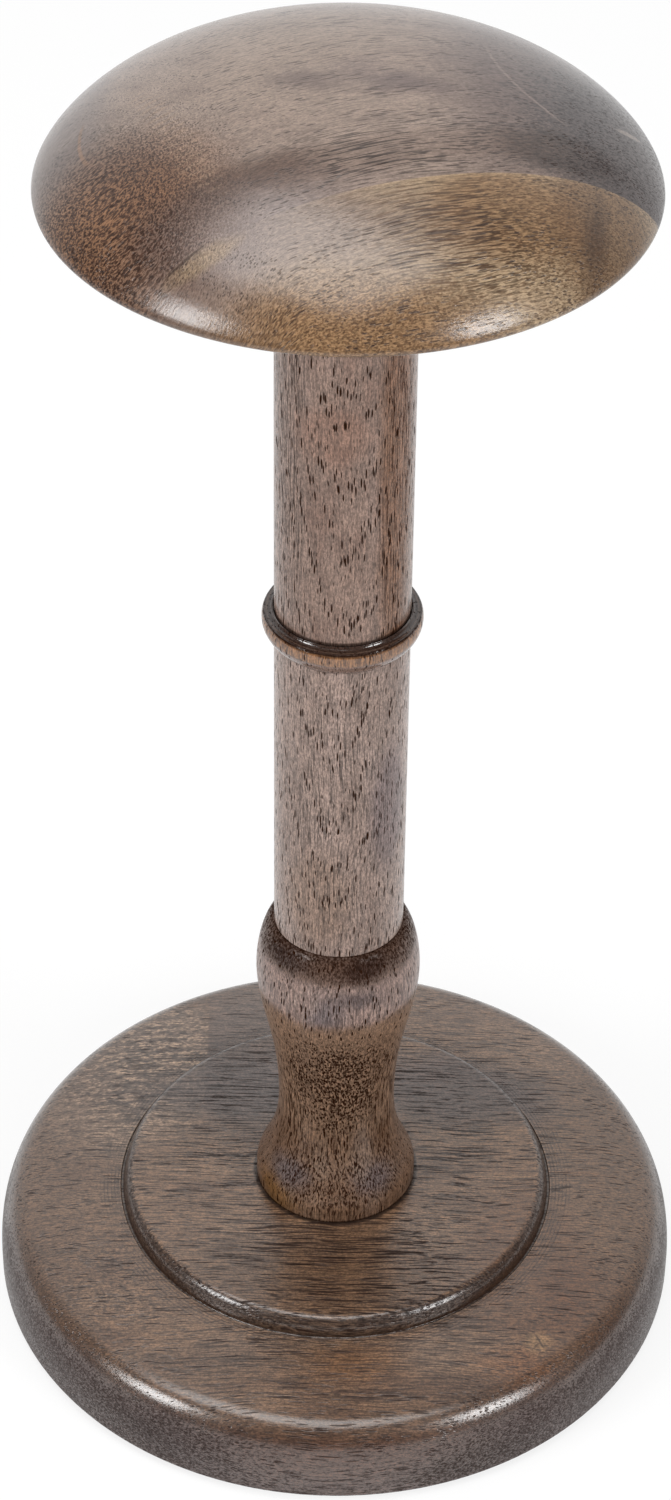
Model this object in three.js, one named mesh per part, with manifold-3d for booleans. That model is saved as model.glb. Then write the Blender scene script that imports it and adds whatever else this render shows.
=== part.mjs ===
// Milliner's hat stand: a turned wooden dome on a two-part post, on a round base with a vase-shaped foot.
// Lengths are in millimetres, +Z is up, and the origin is the centre of the face that the felt pads rest on.
import * as THREE from 'three';
import { mergeVertices } from 'three/addons/utils/BufferGeometryUtils.js';
import Module from 'manifold-3d';

const wasm = await Module();
wasm.setup();

// Clearances that every fit is worked out from
const fitClearance = 0.3;
const boreEndGap = 0.5;
const cutOverrun = 1;

// Felt pads under the base
const padCount = 4;
const padRadius = 10;
const padThickness = 2;
const padEdgeMargin = 4;

// Base disc, from its lower edge up: plain side, rounded rim, gently domed ring, groove and raised centre
const baseRadius = 90;
const baseEdgeRound = 1.2;
const baseSideHeight = 5.6;
const rimWidth = 8.2;
const rimHeight = 16.2;
const domedRingWidth = 24.3;
const domedRingRise = 2;
const grooveWidth = 0.7;
const grooveDepth = 0.5;
const plateauEdgeWidth = 3.4;
const plateauRise = 4.8;

// Vase-shaped foot of the stem, with a spigot that sits in the base
const spigotRadius = 11.7;
const spigotLength = 5.6;
const spigotChamfer = 0.8;
const footRadius = 21;
const footSideHeight = 3;
const waistRadius = 15.1;
const footToWaistHeight = 25.5;
const bulbRadius = 20.9;
const waistToBulbHeight = 45;
const shoulderHeight = 16.1;
const shoulderLip = 0.3;

// Where the rim's curve turns, as shares of its height and width
const rimSideShare = 0.51;
const rimTopShare = 0.73;

// Where the foot, waist, bulb and shoulder curves turn, as shares of the height or width of each stretch
const footTurnShare = 0.2;
const waistFromFootShare = 0.64;
const waistToBulbShare = 0.49;
const bulbTurnShare = 0.27;
const shoulderTurnShare = 0.5;
const shoulderEndWidthShare = 0.43;
const shoulderEndHeightShare = 0.08;

// Post, in two lengths, with a glued tenon into the vase
const postRadius = 16.35;
const lowerPostLength = 89.5;
const upperPostVisibleLength = 113;
const tenonRadius = 9;
const tenonLength = 22;
const tenonChamfer = 1;

// Turned ring between the two post lengths
const midRingFootRadius = 16.9;
const midRingRadius = 19.3;
const midRingWidestHeight = 5.1;
const midRingEdgeInset = 0.55;
const midRingEdgeHeight = 7.2;
const midRingHeight = 8.2;
const midRingRecessDepth = 2.5;
const ringFlankStartShare = 0.42;
const ringFlankStartHeightShare = 0.24;
const ringFlankEndShare = 0.43;
const ringCoveShare = 0.4;
const ringCoveHeightShare = 0.1;

// Head: a domed cap with a rounded rim and a flat underside
const headRadius = 69.2;
const domeHeight = 27;
const domeCrownShare = 0.77;
const domeRimShare = 0.12;
const headUnderWidth = 4;
const headUnderHeight = 1.8;
const headSocketDepth = 6;

// M8 hardware
const threadRadius = 4;
const threadEndChamfer = 0.8;
const threadOverrun = 2;
const boltHeadRadius = 7;
const boltHeadFlatRadius = 4.4;
const boltHeadHeight = 4.4;
const boltHeadInset = 1.6;
const hexSocketAcrossFlats = 5;
const hexSocketDepth = 2.6;
const washerRadius = 12;
const washerThickness = 2;
const counterboreClearance = 1;
const insertRadius = 6;
const insertRidgeHeight = 0.6;
const insertRidgeCount = 4;
const footInsertLength = 15;
const midInsertLength = 15;
const headInsertLength = 12;
const woodThreadRadius = 3.5;
const woodThreadLength = 20;
const woodThreadTipLength = 4;

// How finely the round surfaces are divided
const discSides = 56;
const stemSides = 40;
const hardwareSides = 16;
const smallArcSteps = 3;
const arcSteps = 6;
const longArcSteps = 8;
const domeSteps = 14;

// Heights that follow from the sizes above
const baseBottom = padThickness;
const rimTop = baseBottom + baseSideHeight + rimHeight;
const baseRingTop = rimTop + domedRingRise;
const plateauTop = baseRingTop + plateauRise;
const spigotBottom = plateauTop - spigotLength;
const footSideTop = plateauTop + footSideHeight;
const waistHeight = footSideTop + footToWaistHeight;
const bulbHeight = waistHeight + waistToBulbHeight;
const vaseTop = bulbHeight + shoulderHeight;
const midRingBottom = vaseTop + lowerPostLength;
const midRingTop = midRingBottom + midRingHeight;
const upperPostBottom = midRingTop - midRingRecessDepth;
const headUnderside = midRingTop + upperPostVisibleLength;
const headSocketTop = headUnderside + headSocketDepth;
const headRim = headUnderside + headUnderHeight;
const headTop = headRim + domeHeight;

// Radii that follow from the sizes above
const domedRingRadius = baseRadius - rimWidth;
const lipRadius = domedRingRadius - domedRingWidth;
const plateauRadius = lipRadius - grooveWidth - plateauEdgeWidth;
const postSocketRadius = postRadius + fitClearance;
const threadHoleRadius = threadRadius + fitClearance;
const insertBoreRadius = insertRadius + insertRidgeHeight + fitClearance;
const woodThreadBoreRadius = woodThreadRadius + fitClearance;
const counterboreRadius = washerRadius + counterboreClearance;

// The bolt's stack, from the underside of the base up
const boltHeadBottom = baseBottom + boltHeadInset;
const washerBottom = boltHeadBottom + boltHeadHeight;
const counterboreTop = washerBottom + washerThickness;
const footInsertTop = spigotBottom + footInsertLength;
const midInsertBottom = midRingBottom - midInsertLength;
const headInsertTop = headSocketTop + headInsertLength;

const woodBase = new THREE.MeshStandardMaterial({ color: 0x6b5648, roughness: 0.38, metalness: 0 });
const woodStem = new THREE.MeshStandardMaterial({ color: 0x7d685c, roughness: 0.4, metalness: 0 });
const woodVase = new THREE.MeshStandardMaterial({ color: 0x66503f, roughness: 0.4, metalness: 0 });
const woodRing = new THREE.MeshStandardMaterial({ color: 0x5a4334, roughness: 0.35, metalness: 0 });
const woodHead = new THREE.MeshStandardMaterial({ color: 0x725c49, roughness: 0.35, metalness: 0 });
const steel = new THREE.MeshStandardMaterial({ color: 0xb4b6b8, roughness: 0.35, metalness: 1 });
const zincAlloy = new THREE.MeshStandardMaterial({ color: 0x9c9689, roughness: 0.45, metalness: 1 });
const felt = new THREE.MeshStandardMaterial({ color: 0x2e2a28, roughness: 0.95, metalness: 0 });

const point = (radius, height) => new THREE.Vector2(radius, height);

// Points along a quarter of an ellipse about (centreRadius, centreHeight), angles in quarter turns
function quarterArc(centreRadius, centreHeight, width, height, from, to, steps) {
  const quarter = Math.PI / 2;
  const arc = new THREE.EllipseCurve(
    centreRadius, centreHeight, width, height, from * quarter, to * quarter, to < from);
  return arc.getPoints(steps);
}

const bend = (start, leave, arrive, end, steps) =>
  new THREE.CubicBezierCurve(start, leave, arrive, end).getPoints(steps);

// A turned solid: the outline runs up the outside and down any bore, and is spun about +Z
function turned(name, outline, sides, material) {
  const geometry = new THREE.LatheGeometry(outline, sides);
  geometry.rotateX(Math.PI / 2);
  const mesh = new THREE.Mesh(geometry, material);
  mesh.name = name;
  return mesh;
}

const closed = (outline) => [...outline, outline[0].clone()];

// A closed geometry as a solid that can be joined or cut
function solidOf(geometry) {
  const bare = geometry.clone();
  bare.deleteAttribute('normal');
  bare.deleteAttribute('uv');
  const merged = mergeVertices(bare);
  const vertProperties = merged.getAttribute('position').array;
  const triVerts = new Uint32Array(merged.index.array);
  return new wasm.Manifold(new wasm.Mesh({ numProp: 3, vertProperties, triVerts }));
}

function geometryOf(solid) {
  const cut = solid.getMesh();
  const geometry = new THREE.BufferGeometry();
  geometry.setAttribute('position', new THREE.BufferAttribute(cut.vertProperties, 3));
  geometry.setIndex(new THREE.BufferAttribute(cut.triVerts, 1));
  geometry.computeVertexNormals();
  return geometry;
}

// Outside of the base from the top of its plain side, over the rim, to the groove's lip
function baseRim() {
  const sideTop = baseBottom + baseSideHeight;
  const ringTurn = point(lipRadius + domedRingWidth / 2, baseRingTop);
  const slope = (baseRingTop - rimTop) / (domedRingRadius - ringTurn.x);
  const rimTurnWidth = rimTopShare * rimWidth;
  const rim = bend(
    point(baseRadius, sideTop),
    point(baseRadius, sideTop + rimSideShare * rimHeight),
    point(domedRingRadius + rimTurnWidth, rimTop - slope * rimTurnWidth),
    point(domedRingRadius, rimTop),
    longArcSteps);
  const ring = new THREE.QuadraticBezierCurve(
    point(domedRingRadius, rimTop), ringTurn, point(lipRadius, baseRingTop));
  return [...rim, ...ring.getPoints(smallArcSteps).slice(1)];
}

// Disc with a counterbore under it, a bolt hole through it and a shallow socket for the vase's spigot
function baseDisc() {
  const socketRadius = spigotRadius + fitClearance;
  const socketBottom = spigotBottom - boreEndGap;
  const edgeCentre = baseRadius - baseEdgeRound;
  const grooveFloor = baseRingTop - grooveDepth;
  const outline = [
    point(counterboreRadius, baseBottom),
    ...quarterArc(edgeCentre, baseBottom + baseEdgeRound, baseEdgeRound, baseEdgeRound, -1, 0, smallArcSteps),
    ...baseRim(),
    point(lipRadius, grooveFloor),
    ...quarterArc(plateauRadius, grooveFloor, plateauEdgeWidth, plateauRise + grooveDepth, 0, 1, arcSteps),
    point(socketRadius, plateauTop),
    point(socketRadius, socketBottom),
    point(threadHoleRadius, socketBottom),
    point(threadHoleRadius, counterboreTop),
    point(counterboreRadius, counterboreTop),
  ];
  return turned('base_disc', closed(outline), discSides, woodBase);
}

// Outside of the vase, from the foot's contact with the base up to the mouth that the post enters
function vaseSide() {
  const topRadius = postRadius + shoulderLip;
  const shoulderWidth = bulbRadius - topRadius;
  const foot = bend(
    point(footRadius, footSideTop),
    point(footRadius, footSideTop + footTurnShare * footToWaistHeight),
    point(waistRadius, waistHeight - waistFromFootShare * footToWaistHeight),
    point(waistRadius, waistHeight),
    longArcSteps);
  const belly = bend(
    point(waistRadius, waistHeight),
    point(waistRadius, waistHeight + waistToBulbShare * waistToBulbHeight),
    point(bulbRadius, bulbHeight - bulbTurnShare * waistToBulbHeight),
    point(bulbRadius, bulbHeight),
    longArcSteps);
  const shoulder = bend(
    point(bulbRadius, bulbHeight),
    point(bulbRadius, bulbHeight + shoulderTurnShare * shoulderHeight),
    point(
      topRadius + shoulderEndWidthShare * shoulderWidth,
      vaseTop - shoulderEndHeightShare * shoulderHeight),
    point(topRadius, vaseTop),
    arcSteps);
  return [point(footRadius, plateauTop), ...foot, ...belly.slice(1), ...shoulder.slice(1)];
}

// Vase with a spigot and insert bore below, and a socket for the lower post's tenon above
function vaseFoot() {
  const tenonSocketRadius = tenonRadius + fitClearance;
  const insertBoreTop = footInsertTop + boreEndGap;
  const boltHoleTop = footInsertTop + threadOverrun + boreEndGap;
  const outline = [
    point(0, boltHoleTop),
    point(threadHoleRadius, boltHoleTop),
    point(threadHoleRadius, insertBoreTop),
    point(insertBoreRadius, insertBoreTop),
    point(insertBoreRadius, spigotBottom),
    point(spigotRadius - spigotChamfer, spigotBottom),
    point(spigotRadius, spigotBottom + spigotChamfer),
    point(spigotRadius, plateauTop),
    ...vaseSide(),
    point(tenonSocketRadius, vaseTop),
    point(tenonSocketRadius, vaseTop - tenonLength - boreEndGap),
    point(0, vaseTop - tenonLength - boreEndGap),
  ];
  return turned('vase_foot', outline, stemSides, woodVase);
}

// Lower length of the post, with its tenon below and the bore for a threaded insert above
function lowerPost() {
  const tenonBottom = vaseTop - tenonLength;
  const insertBoreBottom = midInsertBottom - boreEndGap;
  const studHoleBottom = midInsertBottom - threadOverrun - boreEndGap;
  const outline = [
    point(0, tenonBottom),
    point(tenonRadius - tenonChamfer, tenonBottom),
    point(tenonRadius, tenonBottom + tenonChamfer),
    point(tenonRadius, vaseTop),
    point(postRadius, vaseTop),
    point(postRadius, midRingBottom),
    point(insertBoreRadius, midRingBottom),
    point(insertBoreRadius, insertBoreBottom),
    point(threadHoleRadius, insertBoreBottom),
    point(threadHoleRadius, studHoleBottom),
    point(0, studHoleBottom),
  ];
  return turned('lower_post', outline, stemSides, woodStem);
}

// Bead with a sloping flank, a crisp upper edge and a coved top, recessed for the upper post
function midRing() {
  const flankWidth = midRingRadius - midRingFootRadius;
  const widest = midRingBottom + midRingWidestHeight;
  const edgeRadius = midRingRadius - midRingEdgeInset;
  const edgeHeight = midRingBottom + midRingEdgeHeight;
  const coveWidth = edgeRadius - postSocketRadius;
  const coveRise = midRingTop - edgeHeight;
  const flank = bend(
    point(midRingFootRadius, midRingBottom),
    point(
      midRingFootRadius + ringFlankStartShare * flankWidth,
      midRingBottom + ringFlankStartHeightShare * midRingWidestHeight),
    point(midRingRadius, widest - ringFlankEndShare * midRingWidestHeight),
    point(midRingRadius, widest),
    arcSteps);
  const overEdge = new THREE.QuadraticBezierCurve(
    point(midRingRadius, widest),
    point(midRingRadius, (widest + edgeHeight) / 2),
    point(edgeRadius, edgeHeight));
  const cove = new THREE.QuadraticBezierCurve(
    point(edgeRadius, edgeHeight),
    point(postSocketRadius + ringCoveShare * coveWidth, edgeHeight + ringCoveHeightShare * coveRise),
    point(postSocketRadius, midRingTop));
  const outline = [
    point(threadHoleRadius, midRingBottom),
    ...flank,
    ...overEdge.getPoints(smallArcSteps).slice(1),
    ...cove.getPoints(smallArcSteps).slice(1),
    point(postSocketRadius, upperPostBottom),
    point(threadHoleRadius, upperPostBottom),
  ];
  return turned('mid_ring', closed(outline), stemSides, woodRing);
}

// Upper length of the post, bored at each end for the wood thread of a hanger bolt
function upperPost() {
  const boreDepth = woodThreadLength + boreEndGap;
  const outline = [
    point(0, upperPostBottom + boreDepth),
    point(woodThreadBoreRadius, upperPostBottom + boreDepth),
    point(woodThreadBoreRadius, upperPostBottom),
    point(postRadius, upperPostBottom),
    point(postRadius, headSocketTop),
    point(woodThreadBoreRadius, headSocketTop),
    point(woodThreadBoreRadius, headSocketTop - boreDepth),
    point(0, headSocketTop - boreDepth),
  ];
  return turned('upper_post', outline, stemSides, woodStem);
}

// Dome with a socket for the post, a bore for the insert and a relief hole for the bolt's end
function headDome() {
  const insertBoreTop = headInsertTop + boreEndGap;
  const reliefTop = headInsertTop + threadOverrun + boreEndGap;
  const crown = bend(
    point(headRadius, headRim),
    point(headRadius, headRim + domeRimShare * domeHeight),
    point(domeCrownShare * headRadius, headTop),
    point(0, headTop),
    domeSteps);
  const outline = [
    point(0, reliefTop),
    point(threadHoleRadius, reliefTop),
    point(threadHoleRadius, insertBoreTop),
    point(insertBoreRadius, insertBoreTop),
    point(insertBoreRadius, headSocketTop),
    point(postSocketRadius, headSocketTop),
    point(postSocketRadius, headUnderside),
    ...quarterArc(
      headRadius - headUnderWidth, headRim, headUnderWidth, headUnderHeight, -1, 0, smallArcSteps),
    ...crown.slice(1),
  ];
  return turned('head_dome', outline, discSides, woodHead);
}

// Button-head bolt that comes up through the base, with a hexagon socket cut into its head
function baseBolt() {
  const tip = footInsertTop + threadOverrun;
  const domeWidth = boltHeadRadius - boltHeadFlatRadius;
  const body = turned('base_bolt', [
    point(0, boltHeadBottom),
    ...quarterArc(boltHeadFlatRadius, washerBottom, domeWidth, boltHeadHeight, -1, 0, arcSteps),
    point(threadRadius, washerBottom),
    point(threadRadius, tip - threadEndChamfer),
    point(threadRadius - threadEndChamfer, tip),
    point(0, tip),
  ], hardwareSides, steel);
  const hexRadius = hexSocketAcrossFlats / Math.sqrt(3);
  const toolHeight = hexSocketDepth + cutOverrun;
  const socket = new THREE.CylinderGeometry(hexRadius, hexRadius, toolHeight, 6);
  socket.rotateX(Math.PI / 2);
  socket.translate(0, 0, boltHeadBottom + hexSocketDepth - toolHeight / 2);
  body.geometry = geometryOf(solidOf(body.geometry).subtract(solidOf(socket)));
  return body;
}

function baseWasher() {
  const outline = [
    point(threadHoleRadius, washerBottom),
    point(washerRadius, washerBottom),
    point(washerRadius, counterboreTop),
    point(threadHoleRadius, counterboreTop),
  ];
  return turned('base_washer', closed(outline), hardwareSides, steel);
}

// Threaded insert: a sleeve with ridges outside that bite into the wood
function threadedInsert(name, bottom, length) {
  const pitch = length / insertRidgeCount;
  const outline = [point(threadHoleRadius, bottom), point(insertRadius, bottom)];
  for (let ridge = 0; ridge < insertRidgeCount; ridge += 1) {
    const start = bottom + ridge * pitch;
    outline.push(point(insertRadius + insertRidgeHeight, start + pitch / 2));
    outline.push(point(insertRadius, start + pitch));
  }
  outline.push(point(threadHoleRadius, bottom + length));
  return turned(name, closed(outline), hardwareSides, zincAlloy);
}

// Hanger bolt standing at its own origin: wood thread below z = 0, machine thread above it
function hangerBolt(name, machineLength) {
  return turned(name, [
    point(0, -woodThreadLength),
    point(woodThreadRadius, woodThreadTipLength - woodThreadLength),
    point(woodThreadRadius, 0),
    point(threadRadius, 0),
    point(threadRadius, machineLength - threadEndChamfer),
    point(threadRadius - threadEndChamfer, machineLength),
    point(0, machineLength),
  ], hardwareSides, steel);
}

// Hangs down from the upper post, through the ring, into the insert in the lower post
function midStud() {
  const reach = upperPostBottom - midInsertBottom + threadOverrun;
  const stud = hangerBolt('mid_stud', reach);
  stud.rotation.x = Math.PI;
  stud.position.z = upperPostBottom;
  return stud;
}

// Stands up from the upper post into the insert in the head
function headStud() {
  const stud = hangerBolt('head_stud', headInsertLength + threadOverrun);
  stud.position.z = headSocketTop;
  return stud;
}

// Felt pads, evenly spaced just inside the edge of the base
function feltPads() {
  const pads = new THREE.Group();
  const circleRadius = baseRadius - baseEdgeRound - padEdgeMargin - padRadius;
  for (let index = 0; index < padCount; index += 1) {
    const angle = (index + 0.5) / padCount * 2 * Math.PI;
    const pad = new THREE.Mesh(
      new THREE.CylinderGeometry(padRadius, padRadius, padThickness, hardwareSides), felt);
    pad.name = `felt_pad_${index + 1}`;
    pad.rotation.x = Math.PI / 2;
    pad.position.set(circleRadius * Math.cos(angle), circleRadius * Math.sin(angle), padThickness / 2);
    pads.add(pad);
  }
  return pads;
}

const hatStand = new THREE.Group();
hatStand.name = 'hat_stand';
hatStand.add(
  feltPads(),
  baseDisc(),
  baseWasher(),
  baseBolt(),
  vaseFoot(),
  threadedInsert('foot_insert', spigotBottom, footInsertLength),
  lowerPost(),
  threadedInsert('mid_insert', midInsertBottom, midInsertLength),
  midRing(),
  midStud(),
  upperPost(),
  headStud(),
  threadedInsert('head_insert', headSocketTop, headInsertLength),
  headDome(),
);

export default hatStand;
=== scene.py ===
"""Milliner's hat stand: turned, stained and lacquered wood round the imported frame.

The pieces' sizes are millimetres times MM. Textures and marks are in plain millimetres, the studio in
metres. Angles are degrees. Colours are 0 to 255 sRGB, and paint() turns them into linear light.
"""

import math

import bpy
from mathutils import Euler, Matrix, Vector, noise


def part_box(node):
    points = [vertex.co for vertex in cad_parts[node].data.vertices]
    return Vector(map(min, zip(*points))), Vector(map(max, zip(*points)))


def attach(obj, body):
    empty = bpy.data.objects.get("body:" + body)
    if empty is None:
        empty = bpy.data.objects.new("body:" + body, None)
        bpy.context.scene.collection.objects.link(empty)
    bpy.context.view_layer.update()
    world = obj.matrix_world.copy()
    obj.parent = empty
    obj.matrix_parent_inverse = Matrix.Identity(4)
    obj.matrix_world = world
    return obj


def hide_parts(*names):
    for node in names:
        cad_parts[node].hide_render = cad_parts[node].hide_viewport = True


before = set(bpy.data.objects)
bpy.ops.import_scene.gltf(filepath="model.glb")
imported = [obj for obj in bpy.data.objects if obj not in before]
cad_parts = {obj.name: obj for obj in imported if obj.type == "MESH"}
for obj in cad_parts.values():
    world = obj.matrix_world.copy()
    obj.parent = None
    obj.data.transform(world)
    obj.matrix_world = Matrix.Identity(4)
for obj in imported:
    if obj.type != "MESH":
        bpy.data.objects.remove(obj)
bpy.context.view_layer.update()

MM = 0.001

# The photograph's camera, fitted to the edges of the head, the post and the base
CAMERA_PLACE = (-1.3 * MM, -733.0 * MM, 762.2 * MM)
CAMERA_DOWN = 38.77
CAMERA_ROLL = 0.68
PHOTO_FOCAL_PIXELS = 3845.6
PHOTO_HEIGHT_PIXELS = 1500
SENSOR = 36.0
CAMERA_CLIP = (0.05, 50.0)

# Sizes of the turned pieces that the frame's boxes don't give
FIT_CLEARANCE = 0.3 * MM
BORE_END_GAP = 0.5 * MM
BASE_EDGE_ROUND = 1.2 * MM
BASE_SIDE_HEIGHT = 5.6 * MM
RIM_WIDTH = 8.2 * MM
RIM_HEIGHT = 16.2 * MM
RIM_SIDE_SHARE = 0.51
RIM_TOP_SHARE = 0.73
DOMED_RING_WIDTH = 24.3 * MM
DOMED_RING_RISE = 2.0 * MM
GROOVE_WIDTH = 0.7 * MM
GROOVE_DEPTH = 0.5 * MM
GROOVE_ROUND = GROOVE_WIDTH / 3
PLATEAU_EDGE_WIDTH = 3.4 * MM
PLATEAU_RISE = 4.8 * MM
SPIGOT_RADIUS = 11.7 * MM
SPIGOT_CHAMFER = 0.8 * MM
SPIGOT_LENGTH = 5.6 * MM
FOOT_RADIUS = 21.0 * MM
FOOT_SIDE_HEIGHT = 3.0 * MM
WAIST_RADIUS = 15.1 * MM
FOOT_TO_WAIST = 25.5 * MM
BULB_RADIUS = 20.9 * MM
WAIST_TO_BULB = 45.0 * MM
SHOULDER_HEIGHT = 16.1 * MM
SHOULDER_LIP = 0.3 * MM
FOOT_CURVE_SHARES = (0.2, 0.64)
BULB_CURVE_SHARES = (0.49, 0.27)
SHOULDER_CURVE_SHARES = (0.5, 0.43, 0.08)
TENON_RADIUS = 9.0 * MM
TENON_LENGTH = 22.0 * MM
TENON_CHAMFER = 1.0 * MM
RING_FOOT_RADIUS = 16.9 * MM
RING_WIDEST_HEIGHT = 5.1 * MM
RING_EDGE_INSET = 0.55 * MM
RING_EDGE_HEIGHT = 7.2 * MM
RING_FLANK_SHARES = (0.42, 0.24, 0.43)
RING_EDGE_SHARE = 0.3
COVE_SHARES = (0.2, 0.02)
HEAD_RIM_SHARE = 0.12
HEAD_CROWN_SHARE = 0.77
HEAD_UNDER_WIDTH = 4.0 * MM
HEAD_UNDER_HEIGHT = 1.8 * MM
HEAD_SOCKET_DEPTH = 6.0 * MM
THREAD_RADIUS = 4.0 * MM
THREAD_HOLE_RADIUS = THREAD_RADIUS + FIT_CLEARANCE
INSERT_BORE_RADIUS = 6.9 * MM
WOOD_THREAD_BORE_RADIUS = 3.8 * MM
COUNTERBORE_RADIUS = 13.0 * MM

# M8 screws and the threaded inserts
MACHINE_PITCH = 1.25 * MM
MACHINE_ROOT_RADIUS = 3.35 * MM
WOOD_PITCH = 3.0 * MM
WOOD_THREAD_RADIUS = 3.5 * MM
WOOD_ROOT_RADIUS = 2.4 * MM
WOOD_THREAD_LENGTH = 20.0 * MM
WOOD_TIP_LENGTH = 4.0 * MM
PLAIN_SHANK = 1.4 * MM
THREAD_END_CHAMFER = 0.8 * MM
THREAD_TIP_RADIUS = 0.2 * MM
INSERT_ROOT_RADIUS = 5.9 * MM
INSERT_PITCH = 3.0 * MM
INSERT_CREST_RADIUS = 4.1 * MM
HEAD_FLAT_RADIUS = 4.4 * MM
HEX_ACROSS_FLATS = 5.0 * MM
HEX_DEPTH = 2.6 * MM
HEX_MOUTH = 0.15 * MM
HEX_CORNER = math.pi / 3

# Felt pads
PAD_EDGE_ROUND = 0.5 * MM
PAD_FUZZ = 0.14 * MM
PAD_FUZZ_SIZE = 0.9 * MM
PAD_RINGS = 10

# Small roundings and marks that only the eye needs
EDGE_BREAK = 0.3 * MM
JOINT_CHAMFER = 0.25 * MM
LIP_ROUND = 0.35 * MM
TURNING_LINES = 5
TURNING_LINE_PITCH = 0.75 * MM
TURNING_LINE_WIDTH = 0.3 * MM
TURNING_LINE_DEPTH = 0.07 * MM
LINED_WIDTH = 2 * LIP_ROUND + TURNING_LINES * TURNING_LINE_PITCH
RING_STEPS = 12

DISC_SEGMENTS = 224
STEM_SEGMENTS = 144
HARDWARE_SEGMENTS = 48
THREAD_STEPS = 8
BOLT_DOME_STEPS = 12
PAD_EDGE_STEPS = 5
FILLET_STEPS = 4
FILLET_REACH_SHARE = 0.45
CURVE_STEPS = 28
CROWN_STEPS = 3 * CURVE_STEPS
BASE_EDGE_STEPS = 6
HEAD_EDGE_STEPS = 10
RING_EDGE_STEPS = 10
COVE_STEPS = 12
ON_AXIS = 1e-6 * MM
SHARP_ANGLE = 40


def linear(level):
    share = level / 255
    return share / 12.92 if share <= 0.04045 else ((share + 0.055) / 1.055) ** 2.4


def paint(red, green, blue):
    return (linear(red), linear(green), linear(blue), 1.0)


# Outlines: points are (radius, height), running up the outside and down any bore

def point(radius, height):
    return Vector((radius, height))


def fillet(before, corner, after, radius):
    """The corner rounded off, as points on a curve that leaves and meets both sides smoothly."""
    back, ahead = before - corner, after - corner
    reach = min(radius, FILLET_REACH_SHARE * back.length, FILLET_REACH_SHARE * ahead.length)
    start = corner + back.normalized() * reach
    end = corner + ahead.normalized() * reach
    shares = [step / FILLET_STEPS for step in range(FILLET_STEPS + 1)]
    return [start.lerp(corner, s).lerp(corner.lerp(end, s), s) for s in shares]


def softened(points, radius, closed=False):
    """An outline with every corner rounded off, and its two ends too if it is closed."""
    rounded = []
    count = len(points)
    for index, corner in enumerate(points):
        at_end = index in (0, count - 1) and not closed
        if at_end:
            rounded.append(corner)
        else:
            rounded += fillet(points[index - 1], corner, points[(index + 1) % count], radius)
    return rounded


def bend(start, leave, arrive, end, steps=CURVE_STEPS):
    """Points on a curve that sets out towards leave and comes in from arrive."""
    shares = [step / steps for step in range(steps + 1)]
    return [
        start * (1 - s) ** 3 + leave * 3 * (1 - s) ** 2 * s + arrive * 3 * (1 - s) * s * s + end * s ** 3
        for s in shares
    ]


def quarter_arc(centre, width, height, start, end, steps=CURVE_STEPS):
    """Points on an ellipse about centre, from start to end in quarter turns."""
    angles = [(start + (end - start) * step / steps) * math.pi / 2 for step in range(steps + 1)]
    return [centre + point(width * math.cos(a), height * math.sin(a)) for a in angles]


def outline_normals(points, closed):
    """Outward directions at an outline's points. The longer of two neighbouring stretches counts more."""
    count = len(points)
    normals = []
    for index, here in enumerate(points):
        total = Vector((0.0, 0.0))
        if closed or index > 0:
            total += here - points[index - 1]
        if closed or index < count - 1:
            total += points[(index + 1) % count] - here
        normals.append(Vector((total.y, -total.x)).normalized())
    return normals


def turned(name, outline, segments, material, closed=False):
    """A lathe-turned piece about +Z. An open outline starts and ends on the axis."""
    vertices, normals, rings = [], [], []
    for place, normal in zip(outline, outline_normals(outline, closed)):
        on_axis = place.x < ON_AXIS
        spins = [0.0] if on_axis else [2 * math.pi * k / segments for k in range(segments)]
        rings.append(range(len(vertices), len(vertices) + len(spins)))
        for spin in spins:
            vertices.append((place.x * math.cos(spin), place.x * math.sin(spin), place.y))
            across = 0.0 if on_axis else normal.x
            up = math.copysign(1, normal.y) if on_axis else normal.y
            normals.append((across * math.cos(spin), across * math.sin(spin), up))
    faces = []
    pairs = list(zip(rings, rings[1:] + rings[:1])) if closed else list(zip(rings, rings[1:]))
    for low, high in pairs:
        for k in range(segments):
            ahead = (k + 1) % segments
            if len(low) == 1:
                faces.append((low[0], high[ahead], high[k]))
            elif len(high) == 1:
                faces.append((low[k], low[ahead], high[0]))
            else:
                faces.append((low[k], low[ahead], high[ahead], high[k]))
    return mesh_piece(name, vertices, faces, material, normals)


def linked(name, data):
    """An object in the scene that shows a mesh, a light or a camera."""
    holder = bpy.data.objects.new(name, data)
    bpy.context.scene.collection.objects.link(holder)
    return holder


def mesh_piece(name, vertices, faces, material, normals=None):
    mesh = bpy.data.meshes.new(name)
    mesh.from_pydata(vertices, [], faces)
    mesh.validate()
    mesh.shade_smooth()
    if normals:
        mesh.normals_split_custom_set_from_vertices(normals)
    mesh.materials.append(material)
    return linked(name, mesh)


def skinned(name, rings, material, closed=False):
    """A skin over rings that all have the same number of points, capped at both ends unless it is closed."""
    count = len(rings[0])
    vertices = [place for ring in rings for place in ring]
    faces = []
    for low in range(len(rings) if closed else len(rings) - 1):
        high = (low + 1) % len(rings)
        for k in range(count):
            ahead = (k + 1) % count
            faces.append((low * count + k, low * count + ahead, high * count + ahead, high * count + k))
    if not closed:
        faces.append(tuple(reversed(range(count))))
        faces.append(tuple(range(len(vertices) - count, len(vertices))))
    made = mesh_piece(name, vertices, faces, material)
    made.data.set_sharp_from_angle(angle=math.radians(SHARP_ANGLE))
    return made


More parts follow.
